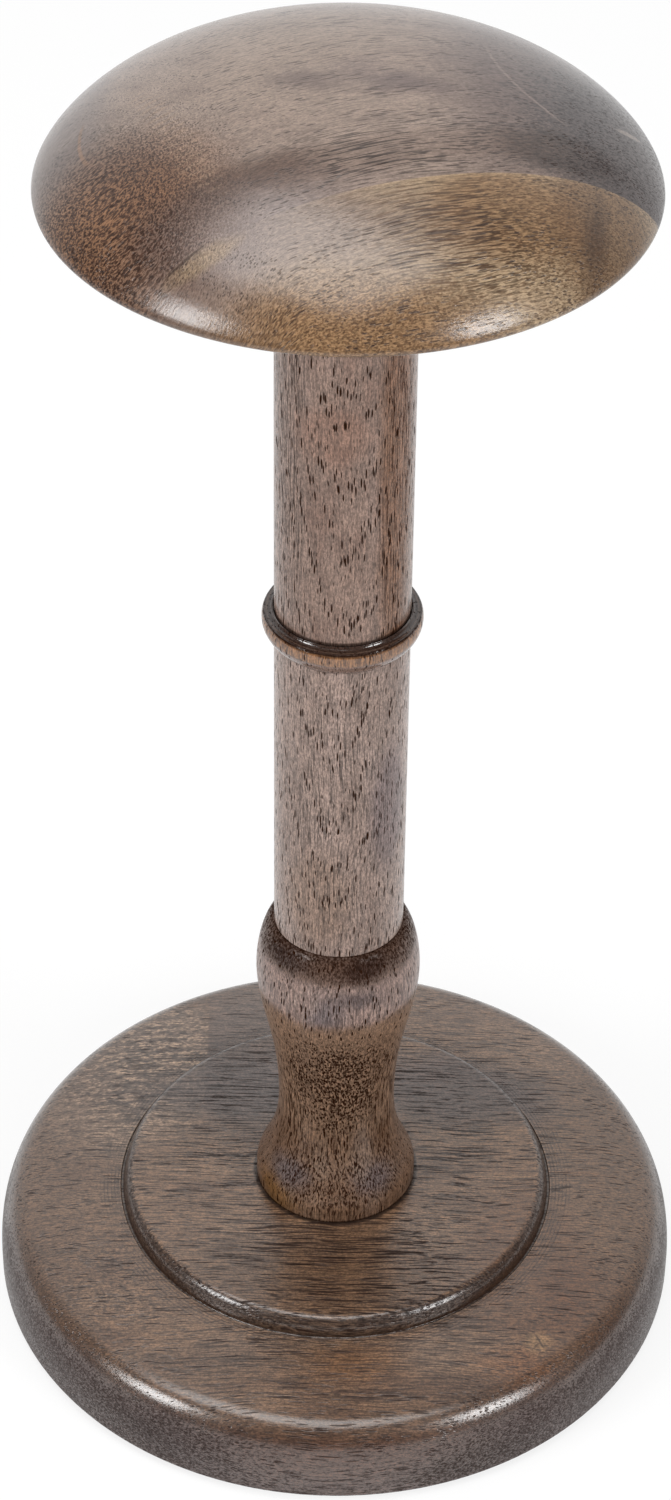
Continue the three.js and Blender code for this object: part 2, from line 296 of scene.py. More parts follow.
def ring_of(reach, height):
    """A ring of points about the axis at a height. reach gives the radius at each angle."""
    spins = [2 * math.pi * k / HARDWARE_SEGMENTS for k in range(HARDWARE_SEGMENTS)]
    return [(reach(spin) * math.cos(spin), reach(spin) * math.sin(spin), height) for spin in spins]


def plain_ring(radius, height):
    return ring_of(lambda spin: radius, height)


def thread_rings(start, end, root, crest, pitch, limit=None):
    """Rings along a screw thread. limit, if given, is the radius that nothing passes at each height."""
    steps = round(abs(end - start) / pitch * THREAD_STEPS)
    rings = []
    for step in range(steps + 1):
        height = start + (end - start) * step / steps

        def reach(spin):
            turn = (height / pitch - spin / (2 * math.pi)) % 1
            flank = 1 - abs(2 * turn - 1)
            radius = root + (crest - root) * flank * flank * (3 - 2 * flank)
            return min(radius, limit(height)) if limit else radius

        rings.append(ring_of(reach, height))
    return rings


class Graph:
    """A tree of shader nodes, with one short call for each kind of node."""

    def __init__(self, tree):
        self.tree = tree
        self.tree.nodes.clear()

    def node(self, kind, inputs=None, **settings):
        made = self.tree.nodes.new(kind)
        for key, value in settings.items():
            setattr(made, key, value)
        for key, value in (inputs or {}).items():
            self.feed(made.inputs[key], value)
        return made

    def feed(self, socket, value):
        if isinstance(value, bpy.types.NodeSocket):
            self.tree.links.new(value, socket)
        else:
            socket.default_value = value

    def math(self, operation, first, second=0.0, third=0.0, clamp=False):
        inputs = {0: first, 1: second, 2: third}
        return self.node("ShaderNodeMath", inputs, operation=operation, use_clamp=clamp).outputs[0]

    def times(self, first, second):
        return self.math("MULTIPLY", first, second)

    def total(self, *terms):
        """The sum of amounts, each written as (share, value)."""
        result = 0.0
        for share, value in terms:
            result = self.math("MULTIPLY_ADD", value, share, result)
        return result

    def vector(self, operation, first, second=(0, 0, 0)):
        made = self.node("ShaderNodeVectorMath", {0: first, 1: second}, operation=operation)
        return made.outputs["Value" if operation in ("LENGTH", "DOT_PRODUCT", "DISTANCE") else "Vector"]

    def scaled(self, place, factor):
        made = self.node("ShaderNodeVectorMath", {0: place, "Scale": factor}, operation="SCALE")
        return made.outputs["Vector"]

    def split(self, place):
        return self.node("ShaderNodeSeparateXYZ", {0: place}).outputs

    def joined(self, x, y, z):
        return self.node("ShaderNodeCombineXYZ", {0: x, 1: y, 2: z}).outputs[0]

    def turned_back(self, place, degrees):
        """A place turned about Z by minus the angle, so that X runs along a line at that angle."""
        inputs = {"Vector": place, "Angle": -math.radians(degrees)}
        return self.node("ShaderNodeVectorRotate", inputs, rotation_type="Z_AXIS").outputs[0]

    def noise(self, place, detail=2.0, roughness=0.5, output="Factor"):
        inputs = {"Vector": place, "Scale": 1.0, "Detail": detail, "Roughness": roughness}
        return self.node("ShaderNodeTexNoise", inputs).outputs[0 if output == "Factor" else 1]

    def line_noise(self, value, detail=1.0):
        inputs = {"W": value, "Scale": 1.0, "Detail": detail}
        return self.node("ShaderNodeTexNoise", inputs, noise_dimensions="1D").outputs[0]

    def cells(self, place):
        return self.node("ShaderNodeTexVoronoi", {"Vector": place, "Scale": 1.0}).outputs["Distance"]

    def bump(self, strength, depth, height):
        inputs = {"Strength": strength, "Distance": depth, "Height": height}
        return self.node("ShaderNodeBump", inputs).outputs[0]

    def ease(self, value, start, end, low=0.0, high=1.0):
        """low up to start, high from end, and a smooth rise between."""
        inputs = {"Value": value, "From Min": start, "From Max": end, "To Min": low, "To Max": high}
        return self.node("ShaderNodeMapRange", inputs, interpolation_type="SMOOTHSTEP").outputs["Result"]

    def window(self, value, start, end, soft, strength=1.0):
        """strength from start to end, and nothing beyond them."""
        rise = self.ease(value, start - soft, start + soft)
        return self.times(rise, self.ease(value, end - soft, end + soft, strength, 0.0))

    def mix(self, share, first, second):
        inputs = {"Factor": share, 6: first, 7: second}
        return self.node("ShaderNodeMix", inputs, data_type="RGBA").outputs[2]


MIDDLE_GREY = (0.5, 0.5, 0.5)


def new_material(name):
    material = bpy.data.materials.new(name)
    material.use_nodes = True
    return material, Graph(material.node_tree)


def finished(material, graph, values):
    shader = graph.node("ShaderNodeBsdfPrincipled", values)
    graph.node("ShaderNodeOutputMaterial", {"Surface": shader.outputs[0]})
    return material


def surface_place(graph):
    """Where a point of the piece is, in millimetres."""
    place = graph.node("ShaderNodeTexCoord").outputs["Object"]
    return graph.scaled(place, 1 / MM)


# Marks: each takes a wood's graph, its fields and the colour so far, and gives the new colour
PATCH_SOFT = 0.5
TORN_SOFT = 0.6
DOT_RAGGED = 6.0
DOT_STRETCH = 1.7
DOT_UNEVEN = 0.7
DOT_SHARES = (0.32, 0.5)
GRIT_STRETCH = 1.8
GRIT_ROUGHNESS, GRIT_SPREAD, GRIT_EDGE = 0.7, 0.2, (-0.05, 0.07)
STRAND_ROUGHNESS, STRAND_SPREAD, STRAND_EDGE = 0.6, 0.24, (-0.03, 0.06)
STRIPE_SHARES = (-0.2, 0.9)
TOOL_LINE_SHARES = (0.0, 0.8)
WORN_SHARES = (0.4, 0.56)
WORN_LEAST = 0.2
ARC_CORE_SHARE = 0.4
FADE_SHARE = 0.6
FLAT = (1.0, 1.0, 0.0)


def patch(colour, centre, size, strength, ragged, soft, turn=0.0, pattern=None):
    """A patch of colour with uneven edges, whole or broken up by a pattern: mostly a stain, in one mark a
    painted sheen.

    The half size is measured from the centre along X, Y and Z, after a turn about Z. Without Z, the patch
    goes right through the piece. ragged is how far its edge strays, and soft how gently it fades.
    """
    def mark(graph, field, under):
        place = graph.vector("ADD", field["place"], graph.scaled(field["drift"], ragged))
        offset = graph.turned_back(graph.vector("SUBTRACT", place, (*centre, 0.0)[:3]), turn)
        flat = (*[1 / reach for reach in size], 0.0)[:3]
        away = graph.vector("LENGTH", graph.vector("MULTIPLY", offset, flat))
        cover = graph.ease(away, 1 - soft, 1 + soft, strength, 0.0)
        if pattern:
            cover = graph.times(pattern(graph, field, offset), cover)
        return graph.mix(cover, under, paint(*colour))
    return mark


def spot(colour, centre, size, strength=1.0, ragged=3.0, soft=0.4, turn=0.0):
    return patch(colour, centre, size, strength, ragged, soft, turn)


def ripples(colour, centre, size, pitch, strength=1.0, ragged=2.0, turn=0.0):
    """Short stripes that follow one another in the direction of turn."""
    def stripes(graph, field, offset):
        wave = graph.math("SINE", graph.times(graph.split(offset)[0], 2 * math.pi / pitch))
        return graph.ease(wave, *STRIPE_SHARES)
    return patch(colour, centre, size, strength, ragged, PATCH_SOFT, turn, stripes)


def dots(colour, centre, size, spacing, strength=1.0):
    """Vessels cut across, as crowded dark dots of uneven size."""
    def crowd(graph, field, offset):
        away = graph.cells(field["stretched"](DOT_STRETCH * spacing, spacing))
        uneven = graph.math("MULTIPLY_ADD", graph.math("SUBTRACT", field["mottle"], 0.5), DOT_UNEVEN, away)
        return graph.ease(uneven, *DOT_SHARES, 1.0, 0.0)
    return patch(colour, centre, size, strength, DOT_RAGGED, PATCH_SOFT, pattern=crowd)


def torn(length, width, share, roughness, spread, edge):
    """A pattern of grain, length by width, that covers about share of its place."""
    def pattern(graph, field, offset):
        grain = graph.noise(field["stretched"](length, width), detail=1.0, roughness=roughness)
        middle = 0.5 + spread * (0.5 - share)
        return graph.ease(grain, middle + edge[0], middle + edge[1])
    return pattern


def grit(colour, centre, size, pitch, share=0.5, strength=1.0, ragged=4.0):
    """Torn, open grain: an irregular speckle."""
    speckle = torn(GRIT_STRETCH * pitch, pitch, share, GRIT_ROUGHNESS, GRIT_SPREAD, GRIT_EDGE)
    return patch(colour, centre, size, strength, ragged, TORN_SOFT, pattern=speckle)


def strands(colour, centre, size, length, width, share=0.4, strength=1.0, ragged=4.0, turn=0.0):
    """Long thin lines with the grain."""
    lines = torn(length, width, share, STRAND_ROUGHNESS, STRAND_SPREAD, STRAND_EDGE)
    return patch(colour, centre, size, strength, ragged, TORN_SOFT, turn, lines)


def specks(colour, spacing, reach, strength=1.0):
    """A few tiny pale specks, seen from above."""
    def mark(graph, field, under):
        flat = graph.vector("MULTIPLY", field["place"], (1 / spacing, 1 / spacing, 0.0))
        edge = reach / spacing
        speck = graph.ease(graph.cells(flat), FADE_SHARE * edge, edge, strength, 0.0)
        return graph.mix(speck, under, paint(*colour))
    return mark


def tool_lines(colour, start, end, pitch, strength=1.0):
    """Fine circles left by the turning tool, from start to end away from the axis, worn off in places."""
    def mark(graph, field, under):
        wave = graph.math("SINE", graph.times(field["reach"], 2 * math.pi / pitch))
        patches = graph.math("ADD", field["drift_length"], 0.5)
        worn = graph.ease(patches, *WORN_SHARES, WORN_LEAST * strength, strength)
        zone = graph.window(field["reach"], start, end, pitch)
        line = graph.times(graph.ease(wave, *TOOL_LINE_SHARES), zone)
        return graph.mix(graph.times(line, worn), under, paint(*colour))
    return mark


def arc(colour, start, middle, end, width, strength=1.0):
    """A thin line curved through three places, seen from above."""
    (ax, ay), (bx, by), (cx, cy) = start, middle, end
    twist = 2 * (ax * (by - cy) + bx * (cy - ay) + cx * (ay - by))
    a, b, c = ax * ax + ay * ay, bx * bx + by * by, cx * cx + cy * cy
    centre = ((a * (by - cy) + b * (cy - ay) + c * (ay - by)) / twist,
              (a * (cx - bx) + b * (ax - cx) + c * (bx - ax)) / twist)
    radius = math.dist(centre, start)
    reach = max(math.dist(middle, start), math.dist(middle, end))

    def mark(graph, field, under):
        place = graph.vector("ADD", field["place"], field["drift"])
        flat = graph.vector("MULTIPLY", place, FLAT)
        off_line = graph.math("SUBTRACT", graph.vector("DISTANCE", flat, (*centre, 0.0)), radius)
        on_line = graph.ease(graph.math("ABSOLUTE", off_line), ARC_CORE_SHARE * width, width, strength, 0.0)
        off_middle = graph.vector("DISTANCE", flat, (*middle, 0.0))
        near = graph.ease(off_middle, FADE_SHARE * reach, reach, 1.0, 0.0)
        return graph.mix(graph.times(on_line, near), under, paint(*colour))
    return mark


def band(colour, along, start, end, strength=1.0, ragged=3.0, soft=2.0):
    """A zone of another tone from start to end along one of the field's lengths."""
    def mark(graph, field, under):
        wave = graph.math("MULTIPLY_ADD", field["drift_length"], ragged, field[along])
        zone = graph.window(wave, start, end, soft, strength)
        return graph.mix(zone, under, paint(*colour))
    return mark


def within(along, start, end, soft, *marks):
    """Marks that are kept between start and end along one of the field's lengths."""
    def kept(mark):
        def limited(graph, field, under):
            zone = graph.window(field[along], start, end, soft)
            return graph.mix(zone, under, mark(graph, field, under))
        return limited
    return [kept(mark) for mark in marks]


# The texture that all the wood shares. Shares say where a blend starts and ends, or how much a part counts
WANDER_SIZE = 34
CLOUD_SIZE = 15
DRIFT_SIZE = 7
PATCH_SIZE = (60, 11)
FIBRE_SIZE = (4.5, 0.4)
STREAK_SIZE = (26, 0.95)
PATCH_TONE_SHARE = 0.55
CLOUD_TONE_SHARE = 0.45
DARK_TONE_SHARES = (0.38, 0.5)
LIGHT_TONE_SHARES = (0.5, 0.62)
YEAR_DRIFT_PACE = 0.4
YEAR_DRIFT = 1.6
EARLY_RISE_SHARES = (0.0, 0.12)
EARLY_FALL_SHARES = (0.2, 0.75)
MOTTLE_SPREAD, FIBRE_SPREAD, STREAK_SPREAD = 0.1, 0.09, 0.12
LIGHT_SWING_SHARE = 0.4
LINE_SHARES = (0.56, 0.7)
CROWD_CLOUD_SHARE, CROWD_EARLY_SHARE, CROWD_EVEN_SHARE = 0.3, 0.7, 0.35
CROWD_SHARES = (0.1, 0.75)
VESSEL_EDGE_SHARES = (0.7, 1.0)
FINE_VESSEL_SIZE_SHARE = 0.5
FINE_VESSEL_SHARES = (0.22, 0.36)
END_GRAIN_SHARES = (0.3, 1.0)
END_GRAIN_STAIN = 0.4
PIT_VESSEL, PIT_FIBRE, PIT_MOTTLE = -1.0, 0.35, 0.5
PIT_DEPTH = 0.18 * MM
LIGHTNESS_SHARES = (0.3, 0.6, 0.1)
WOOD_ROUGHNESS = 0.5
WOOD_IOR = 1.5


def wood(name, grain, colours, heart, figure, marks=(), climb=None, seed=0.0):
    """Stained, open-pored, lacquered wood as a solid texture.

    grain is "Z" for upright pieces, or the turn of the grain from +X seen from above. colours are light,
    middle and dark. heart is the line of the log's heart, across and behind the piece, how far that line
    leans for each millimetre along the grain, the spacing of the year rings and how much they show. figure
    says how strong each part of the figure is. climb is a stretch along the grain, from and to, in which
    the fibres rise by a third length.
    """
    material, graph = new_material(name)
    place = surface_place(graph)
    parts = graph.split(place)
    if grain == "Z":
        along, straight_across, straight_depth = parts[2], parts[0], parts[1]
        direction = (0.0, 0.0, 1.0)
    else:
        turn = math.radians(grain)
        direction = (math.cos(turn), math.sin(turn), 0.0)
        along = graph.vector("DOT_PRODUCT", place, direction)
        straight_across = graph.vector("DOT_PRODUCT", place, (-math.sin(turn), math.cos(turn), 0.0))
        straight_depth = parts[2]
    if climb:
        climb_from, climb_to, rise = climb
        straight_depth = graph.math("ADD", straight_depth, graph.ease(along, climb_from, climb_to, 0.0, rise))

    # The grain wanders sideways along its length
    moved = graph.vector("ADD", graph.scaled(place, 1 / WANDER_SIZE), (seed, seed, seed))
    wander = graph.vector("SUBTRACT", graph.noise(moved, detail=1.0, output="Color"), MIDDLE_GREY)
    shifts = graph.split(graph.scaled(wander, figure["wander"]))
    across = graph.math("ADD", straight_across, shifts[0])
    depth = graph.math("ADD", straight_depth, shifts[1])

    def stretched(length, width):
        return graph.joined(
            graph.math("MULTIPLY_ADD", along, 1 / length, seed),
            graph.math("MULTIPLY_ADD", across, 1 / width, seed),
            graph.math("MULTIPLY_ADD", depth, 1 / width, seed))

    def from_heart(value, lean, start):
        return graph.math("SUBTRACT", value, graph.math("MULTIPLY_ADD", along, lean, start))

    # Year rings round the heart. Each starts with wide vessels and ends with few
    heart_across = from_heart(across, heart["lean"][0], heart["across"])
    heart_depth = from_heart(depth, heart["lean"][1], heart["depth"])
    radius = graph.vector("LENGTH", graph.joined(heart_across, heart_depth, 0.0))
    year = graph.math("DIVIDE", radius, heart["spacing"])
    rings = graph.line_noise(year, detail=2.0)
    year_drift = graph.line_noise(graph.times(year, YEAR_DRIFT_PACE))
    season = graph.math("FRACT", graph.math("MULTIPLY_ADD", year_drift, YEAR_DRIFT, year))
    early_end = graph.ease(season, *EARLY_FALL_SHARES, 1.0, 0.0)
    early = graph.times(graph.ease(season, *EARLY_RISE_SHARES), early_end)

    patches = graph.noise(stretched(*PATCH_SIZE), detail=4.0, roughness=0.6)
    cloud = graph.noise(graph.scaled(place, 1 / CLOUD_SIZE), detail=3.0, roughness=0.6)
    mottle = graph.noise(stretched(*figure["grit"]), detail=1.5, roughness=0.85)
    fibre = graph.noise(stretched(*FIBRE_SIZE), detail=2.0, roughness=0.75)
    streak = graph.noise(stretched(*STREAK_SIZE), detail=3.0, roughness=0.62)

    light, middle, dark, pore = [paint(*level) for level in (*colours, PORE)]
    contrast = heart["contrast"]
    tone = graph.total((contrast, rings), (PATCH_TONE_SHARE, patches), (CLOUD_TONE_SHARE - contrast, cloud))
    colour = graph.mix(graph.ease(tone, *DARK_TONE_SHARES), dark, middle)
    colour = graph.mix(graph.ease(tone, *LIGHT_TONE_SHARES), colour, light)

    # Stains and figures that the photograph shows in one place, and among them a few painted contact shadows,
    # painted highlights and a painted sheen
    swirl = graph.noise(graph.scaled(place, 1 / DRIFT_SIZE), detail=3.0, roughness=0.6, output="Color")
    field = {
        "place": place, "drift": graph.vector("SUBTRACT", swirl, MIDDLE_GREY),
        "drift_length": graph.math("SUBTRACT", cloud, 0.5), "mottle": mottle, "stretched": stretched,
        "x": parts[0], "y": parts[1], "z": parts[2], "across": straight_across,
        "reach": graph.vector("LENGTH", graph.vector("MULTIPLY", place, FLAT))}
    for mark in marks:
        colour = mark(graph, field, colour)

    # Light and dark fibres, and a fine speckle where the stain took unevenly
    for texture, spread, swing in (
        (mottle, MOTTLE_SPREAD, figure["mottle"]),
        (fibre, FIBRE_SPREAD, figure["fibre"]),
        (streak, STREAK_SPREAD, figure["streak"]),
    ):
        darkest, lightest = 1 - swing, 1 + LIGHT_SWING_SHARE * swing
        colour = graph.scaled(colour, graph.ease(texture, 0.5 - spread, 0.5 + spread, darkest, lightest))
    colour = graph.mix(graph.ease(streak, *LINE_SHARES, 0.0, figure["lines"]), colour, pore)

    # Vessels: long spindles that a face along the grain cuts into dashes and a face across it into dots
    crowd = graph.total(
        (CROWD_CLOUD_SHARE, cloud), (CROWD_EARLY_SHARE * figure["rings"], early),
        (CROWD_EVEN_SHARE * (1 - figure["rings"]), 1.0))
    reach = graph.ease(crowd, *CROWD_SHARES, figure["least"], figure["most"])
    length, spacing = figure["length"], figure["spacing"]
    coarse = graph.math("DIVIDE", graph.cells(stretched(length, spacing)), reach)
    vessel = graph.ease(coarse, *VESSEL_EDGE_SHARES, 1.0, 0.0)
    fine = graph.cells(stretched(FINE_VESSEL_SIZE_SHARE * length, FINE_VESSEL_SIZE_SHARE * spacing))
    colour = graph.mix(graph.ease(fine, *FINE_VESSEL_SHARES, figure["fine"], 0.0), colour, pore)
    colour = graph.mix(graph.times(vessel, figure["dark"]), colour, pore)

    # End grain drinks more stain
    normal = graph.node("ShaderNodeNewGeometry").outputs["Normal"]
    end = graph.math("ABSOLUTE", graph.vector("DOT_PRODUCT", normal, direction))
    colour = graph.mix(graph.ease(end, *END_GRAIN_SHARES, 0.0, END_GRAIN_STAIN), colour, pore)

    # Lacquer lies on the wood, and sinks away where the grain is dark and open
    pits = graph.total((PIT_VESSEL, vessel), (PIT_FIBRE, fibre), (PIT_MOTTLE, mottle))
    relief = graph.bump(figure["relief"], PIT_DEPTH, pits)
    lightness = graph.vector("DOT_PRODUCT", colour, LIGHTNESS_SHARES)
    return finished(material, graph, {
        "Base Color": colour, "Roughness": WOOD_ROUGHNESS, "Normal": relief, "IOR": WOOD_IOR,
        "Specular IOR Level": figure["sheen"],
        "Coat Weight": graph.ease(lightness, *figure["soak"]), "Coat Roughness": figure["gloss"],
        "Coat IOR": figure["lacquer_ior"], "Coat Normal": relief})


# FAR is beyond the wood. TAN_EDGE is the X where the base's pale board ends, HEAD_SEAM a glue line
PORE = (42, 23, 13)
FAR = 100.0
TAN_EDGE = -36.0
HEAD_SEAM = -38.0

# Figures. wander is how far the grain strays, and grit the size of the speckle. mottle, fibre, streak, lines
# and rings say how much each shows. Vessels have a length, a spacing, a least and a most width, and fine and
# dark say how dark the small and the large ones are. soak is the lightness at which lacquer starts to show
# and at which it is full. gloss is the lacquer's roughness, sheen the bare wood's shine
DISC_FIGURE = dict(
    wander=4.0, grit=(0.9, 0.55), mottle=0.36, fibre=0.32, streak=0.16, lines=0.4, rings=0.5, length=11.0,
    spacing=0.6, least=0.2, most=0.41, fine=0.55, dark=0.9, gloss=0.24, soak=(0.008, 0.036),
    lacquer_ior=1.87, sheen=0.2, relief=0.3)
HEAD_FIGURE = dict(
    DISC_FIGURE, mottle=0.15, fibre=0.16, streak=0.1, lines=0.22, length=7.0, spacing=0.62, least=0.12,
    most=0.36, fine=0.3, dark=0.75, gloss=0.22, soak=(0.003, 0.035), lacquer_ior=1.62, sheen=0.1,
    relief=0.35)
STEM_FIGURE = dict(
    HEAD_FIGURE, wander=3.0, grit=(0.9, 0.45), mottle=0.3, fibre=0.3, streak=0.14, rings=0.85, lines=0.3,
    length=4.4, least=0.16, most=0.4, fine=0.5, dark=1.0, gloss=0.24, soak=(0.014, 0.08),
    lacquer_ior=1.5, sheen=0.0, relief=0.45)
VASE_FIGURE = dict(
    STEM_FIGURE, length=4.6, spacing=0.72, least=0.14, most=0.36, rings=0.5, gloss=0.3,
    lacquer_ior=1.45)
RING_FIGURE = dict(
    VASE_FIGURE, gloss=0.15, soak=(0.014, 0.024), mottle=0.24, lacquer_ior=1.8, relief=0.1)

BASE_MARKS = (
    spot((140, 104, 74), (64, -2), (24, 40), 0.8, 5.0, 0.6),
    *within("x", -FAR, TAN_EDGE, 0.4,
        spot((192, 160, 133), (-58, 42), (27, 32), 0.95, 6.0, 0.3),
        ripples((90, 70, 58), (-54, 42), (30, 26), 3.6, 0.75, 7.0, 90),
        grit((80, 60, 48), (-54, 42), (28, 32), 1.2, 0.42, 0.75)),
    *within("x", TAN_EDGE, FAR, 0.4, spot((98, 82, 76), (-22, 46), (20, 32), 0.7, 5.0)),
    spot((100, 84, 79), (-26, 30), (28, 12), 0.75, 5.0),
    spot((94, 77, 72), (34, 31), (25, 14), 0.8, 5.0),
    spot((110, 82, 60), (2, -38), (36, 15), 0.75, 5.0),
    strands((46, 27, 17), (14, -38), (40, 17), 13.0, 0.5, 0.42, 0.95),
    strands((52, 36, 28), (0, 20), (60, 40), 16.0, 0.5, 0.28, 0.75),
    strands((46, 28, 18), (0, 0), (78, 74), 15.0, 0.5, 0.24, 0.78),
    spot((110, 70, 40), (52, -32), (16, 26), 0.6, 5.0),
    spot((98, 58, 29), (66, -42), (13, 15), 0.6, 5.0),
    spot((124, 98, 78), (-6, -63), (44, 6), 0.5, 3.0),
    grit((62, 44, 36), (-60, -40), (22, 18), 0.6, 0.34, 0.6, 6.0),
    strands((48, 30, 22), (8, -74), (52, 6), 11.0, 0.55, 0.36, 0.7, 4.0),
    spot((142, 92, 44), (7, -66), (10, 5), 0.45, 8.0, 0.9),
    spot((136, 80, 36), (50, -66), (11, 6), 0.6, 8.0, 0.9),
    spot((60, 38, 28), (36, -73), (16, 4), 0.4, 8.0, 0.9),
    spot((170, 132, 92), (52.5, -57), (3, 3), 0.7, 3.0, 0.7),
    spot(PORE, (53, -56.5), (0.3, 2.2), 0.7, 1.0, turn=25),
    spot(PORE, (52, -58), (0.3, 1.6), 0.6, 1.0, turn=-35),
    spot((40, 26, 20), (1, -75.5), (0.9, 0.6), 0.7, 1.0),
    spot((150, 102, 62), (66, 3.5), (9, 0.4), 0.7, 0.6),
    spot((150, 116, 84), (46, -3), (9, 0.5), 0.5, 1.0),
    band((82, 60, 48), "reach", 83, 100, 0.5, 8.0, 4.0),
    spot((102, 75, 56), (-76, -8), (13, 66), 0.6, 8.0, 0.7),
    spot((102, 72, 48), (78, 10), (13, 60), 0.65, 8.0, 0.7),
    spot((92, 66, 48), (-34, -68), (18, 6), 0.4, 9.0, 0.8),
    spot((92, 62, 42), (24, -73), (20, 4), 0.45, 9.0, 0.8),
    strands((40, 23, 14), (0, -62), (60, 9), 16.0, 0.5, 0.2, 0.6, 4.0),
    *within("reach", 86.0, 95.0, 2.0,
        band((62, 35, 28), "z", -5.0, 20.0, 0.9, 6.0, 4.0),
        spot((98, 64, 44), (6, -88, 13), (32, 14, 8), 0.75, 8.0, 0.7),
        spot((58, 38, 32), (-44, -78, 12), (18, 16, 6), 0.75, 9.0, 0.9),
        spot((56, 34, 24), (34, -82, 8), (16, 14, 5), 0.7, 6.0, 0.8),
        strands((46, 28, 22), (0, 0, 8), (100, 100, 12), 15.0, 0.5, 0.4, 0.75)),
    *within("z", 20, FAR, 0.3,
        tool_lines((60, 42, 34), 57.6, 63.0, 0.95, 0.55),
        # Painted highlight: a pale thin line on the rounded lip of the groove
        band((196, 168, 146), "reach", 57.5, 57.75, 0.45, 0.0, 0.1),
        band((66, 48, 38), "reach", 54.6, 57.4, 0.7, 0.0, 0.5),
        # Painted contact shadow: a dark ring on the plateau round the vase's foot
        band((34, 22, 17), "reach", -2.0, 21.9, 0.8, 0.4, 0.4)),
    *within("reach", 54.2, 57.3, 0.3, strands((40, 26, 20), (0, 0, 30), (90, 90, 8), 6.0, 0.5, 0.4, 0.7)),
    specks((210, 200, 190), 21.0, 0.4, 0.7),
)
HEAD_MARKS = (
    spot((158, 138, 122), (-14, 10), (22, 26), 0.5, 5.0, 0.7),
    spot((100, 82, 78), (36, 12), (15, 44), 0.75, 6.0, 0.6),
    spot((66, 56, 57), (61, -2), (20, 34), 0.9, 6.0, 0.5),
    spot((52, 34, 26), (46, -17), (15, 6), 0.75, 5.0, turn=12),
    spot((112, 100, 98), (-62, 8), (9, 30), 0.5, 3.0),
    spot((92, 72, 69), (-9, -3), (7, 4), 0.6, 9.0, 0.9),
    spot((88, 70, 70), (10, -3), (9, 4), 0.7, 9.0, 0.9),
    spot((114, 94, 90), (2, 3), (6, 4), 0.4, 5.0, 0.7),
    spot((112, 88, 74), (10, -27), (36, 5), 0.4, 4.0, turn=18),
    strands((38, 26, 20), (8, -28), (32, 9), 12.0, 0.4, 0.3, 0.85, turn=18),
    strands((36, 29, 29), (56, 4), (24, 34), 12.0, 0.6, 0.32, 0.6),
    spot((154, 110, 76), (-51, -38), (23, 22), 0.95, 6.0, 0.5),
    spot((108, 76, 56), (-38, -46), (5, 13), 0.7, 6.0, 0.8, turn=30),
    spot((78, 52, 38), (-44, -24), (17, 6), 0.45, 10.0, 0.95, turn=-40),
    spot((82, 56, 40), (-24, -37), (16, 6), 0.8, 6.0, 0.6, turn=18),
    *within("x", -16, FAR, 9.0, band((180, 154, 122), "across", -FAR, HEAD_SEAM, 0.9, 0.0, 0.15)),
    *within("across", -FAR, HEAD_SEAM, 0.3,
        spot((138, 102, 66), (33, -39), (17, 10), 0.7, 5.0, turn=18),
        spot((112, 80, 54), (54, -32), (11, 19), 0.65, 4.0)),
    *within("across", -FAR, HEAD_SEAM - 0.5, 0.3,
        strands((48, 30, 18), (24, -47), (18, 12), 8.0, 0.45, 0.34, 0.85),
        strands((92, 66, 44), (44, -38), (26, 14), 8.0, 0.4, 0.3, 0.6)),
    # Painted sheen: a pale, bluish patch where the top softbox is reflected on the dome
    spot((130, 114, 108), (-14, -48), (30, 11), 0.75, 6.0, 0.7),
    spot((150, 114, 78), (2, -68), (50, 8), 0.85, 4.0, 0.6),
    spot((170, 144, 112), (-30, -51.5), (7, 2), 0.65, 3.0, 0.6, turn=18),
    spot(PORE, (-33.5, -50.5), (4.5, 0.3), 0.7, 0.5, turn=25),
    spot((60, 46, 42), (52, -36), (2.2, 9), 0.6, 2.5, 0.8, turn=-6),
    ripples((164, 136, 112), (-37, -17), (21, 3.4), 2.3, 0.5, 3.0, turn=-66),
    grit((64, 35, 20), (-52, -36), (25, 25), 0.5, 0.46, 0.85, 6.0),
    dots((48, 27, 16), (-52, -34), (24, 26), 0.75, 0.85),
    grit((96, 66, 42), (0, -68), (60, 9), 0.45, 0.38, 0.7, 4.0),
    dots((64, 40, 24), (4, -66), (50, 9), 0.5, 0.5),
    *within("across", -FAR, HEAD_SEAM - 0.5, 0.3,
        strands((84, 58, 38), (34, -46), (38, 20), 6.0, 0.4, 0.34, 0.65, 4.0)),
    grit((40, 33, 34), (58, 0), (24, 34), 0.7, 0.34, 0.5, 6.0),
    arc((150, 130, 120), (30, 20), (35, 5), (48, -8), 0.5, 0.5),
    arc((160, 120, 90), (-57, 2), (-58, -8), (-55, -17), 0.5, 0.6),
    spot((190, 172, 158), (61, 4), (3.0, 0.8), 0.5, 0.8, turn=30),
)
UPPER_POST_MARKS = (
    spot((140, 98, 70), (12.5, -11.5, 264), (5.0, 6.0, 58), 0.9, 3.0),
    strands((58, 30, 16), (12.5, -11.5, 264), (5.6, 7.0, 60), 30.0, 0.26, 0.36, 0.85, 2.0),
    strands((48, 30, 21), (-13, -10, 275), (4.5, 9.0, 60), 18.0, 0.3, 0.34, 0.8, 2.0),
    spot((150, 106, 84), (-4, -16, 276), (10, 6, 7), 0.4, 4.0),
    # Painted contact shadow on the post, just above where it enters the ring
    band((46, 32, 28), "z", 217.0, 218.5, 0.8, 0.2, 0.3),
)
LOWER_POST_MARKS = (
    spot((108, 91, 96), (12, -11, 165), (6, 6, 18), 0.6, 4.0),
    spot((152, 120, 96), (-6, -15, 138), (9, 6, 14), 0.4, 4.0),
    strands((40, 27, 20), (0, -16, 160), (17, 8, 50), 10.0, 0.45, 0.22, 0.6, 2.0),
)
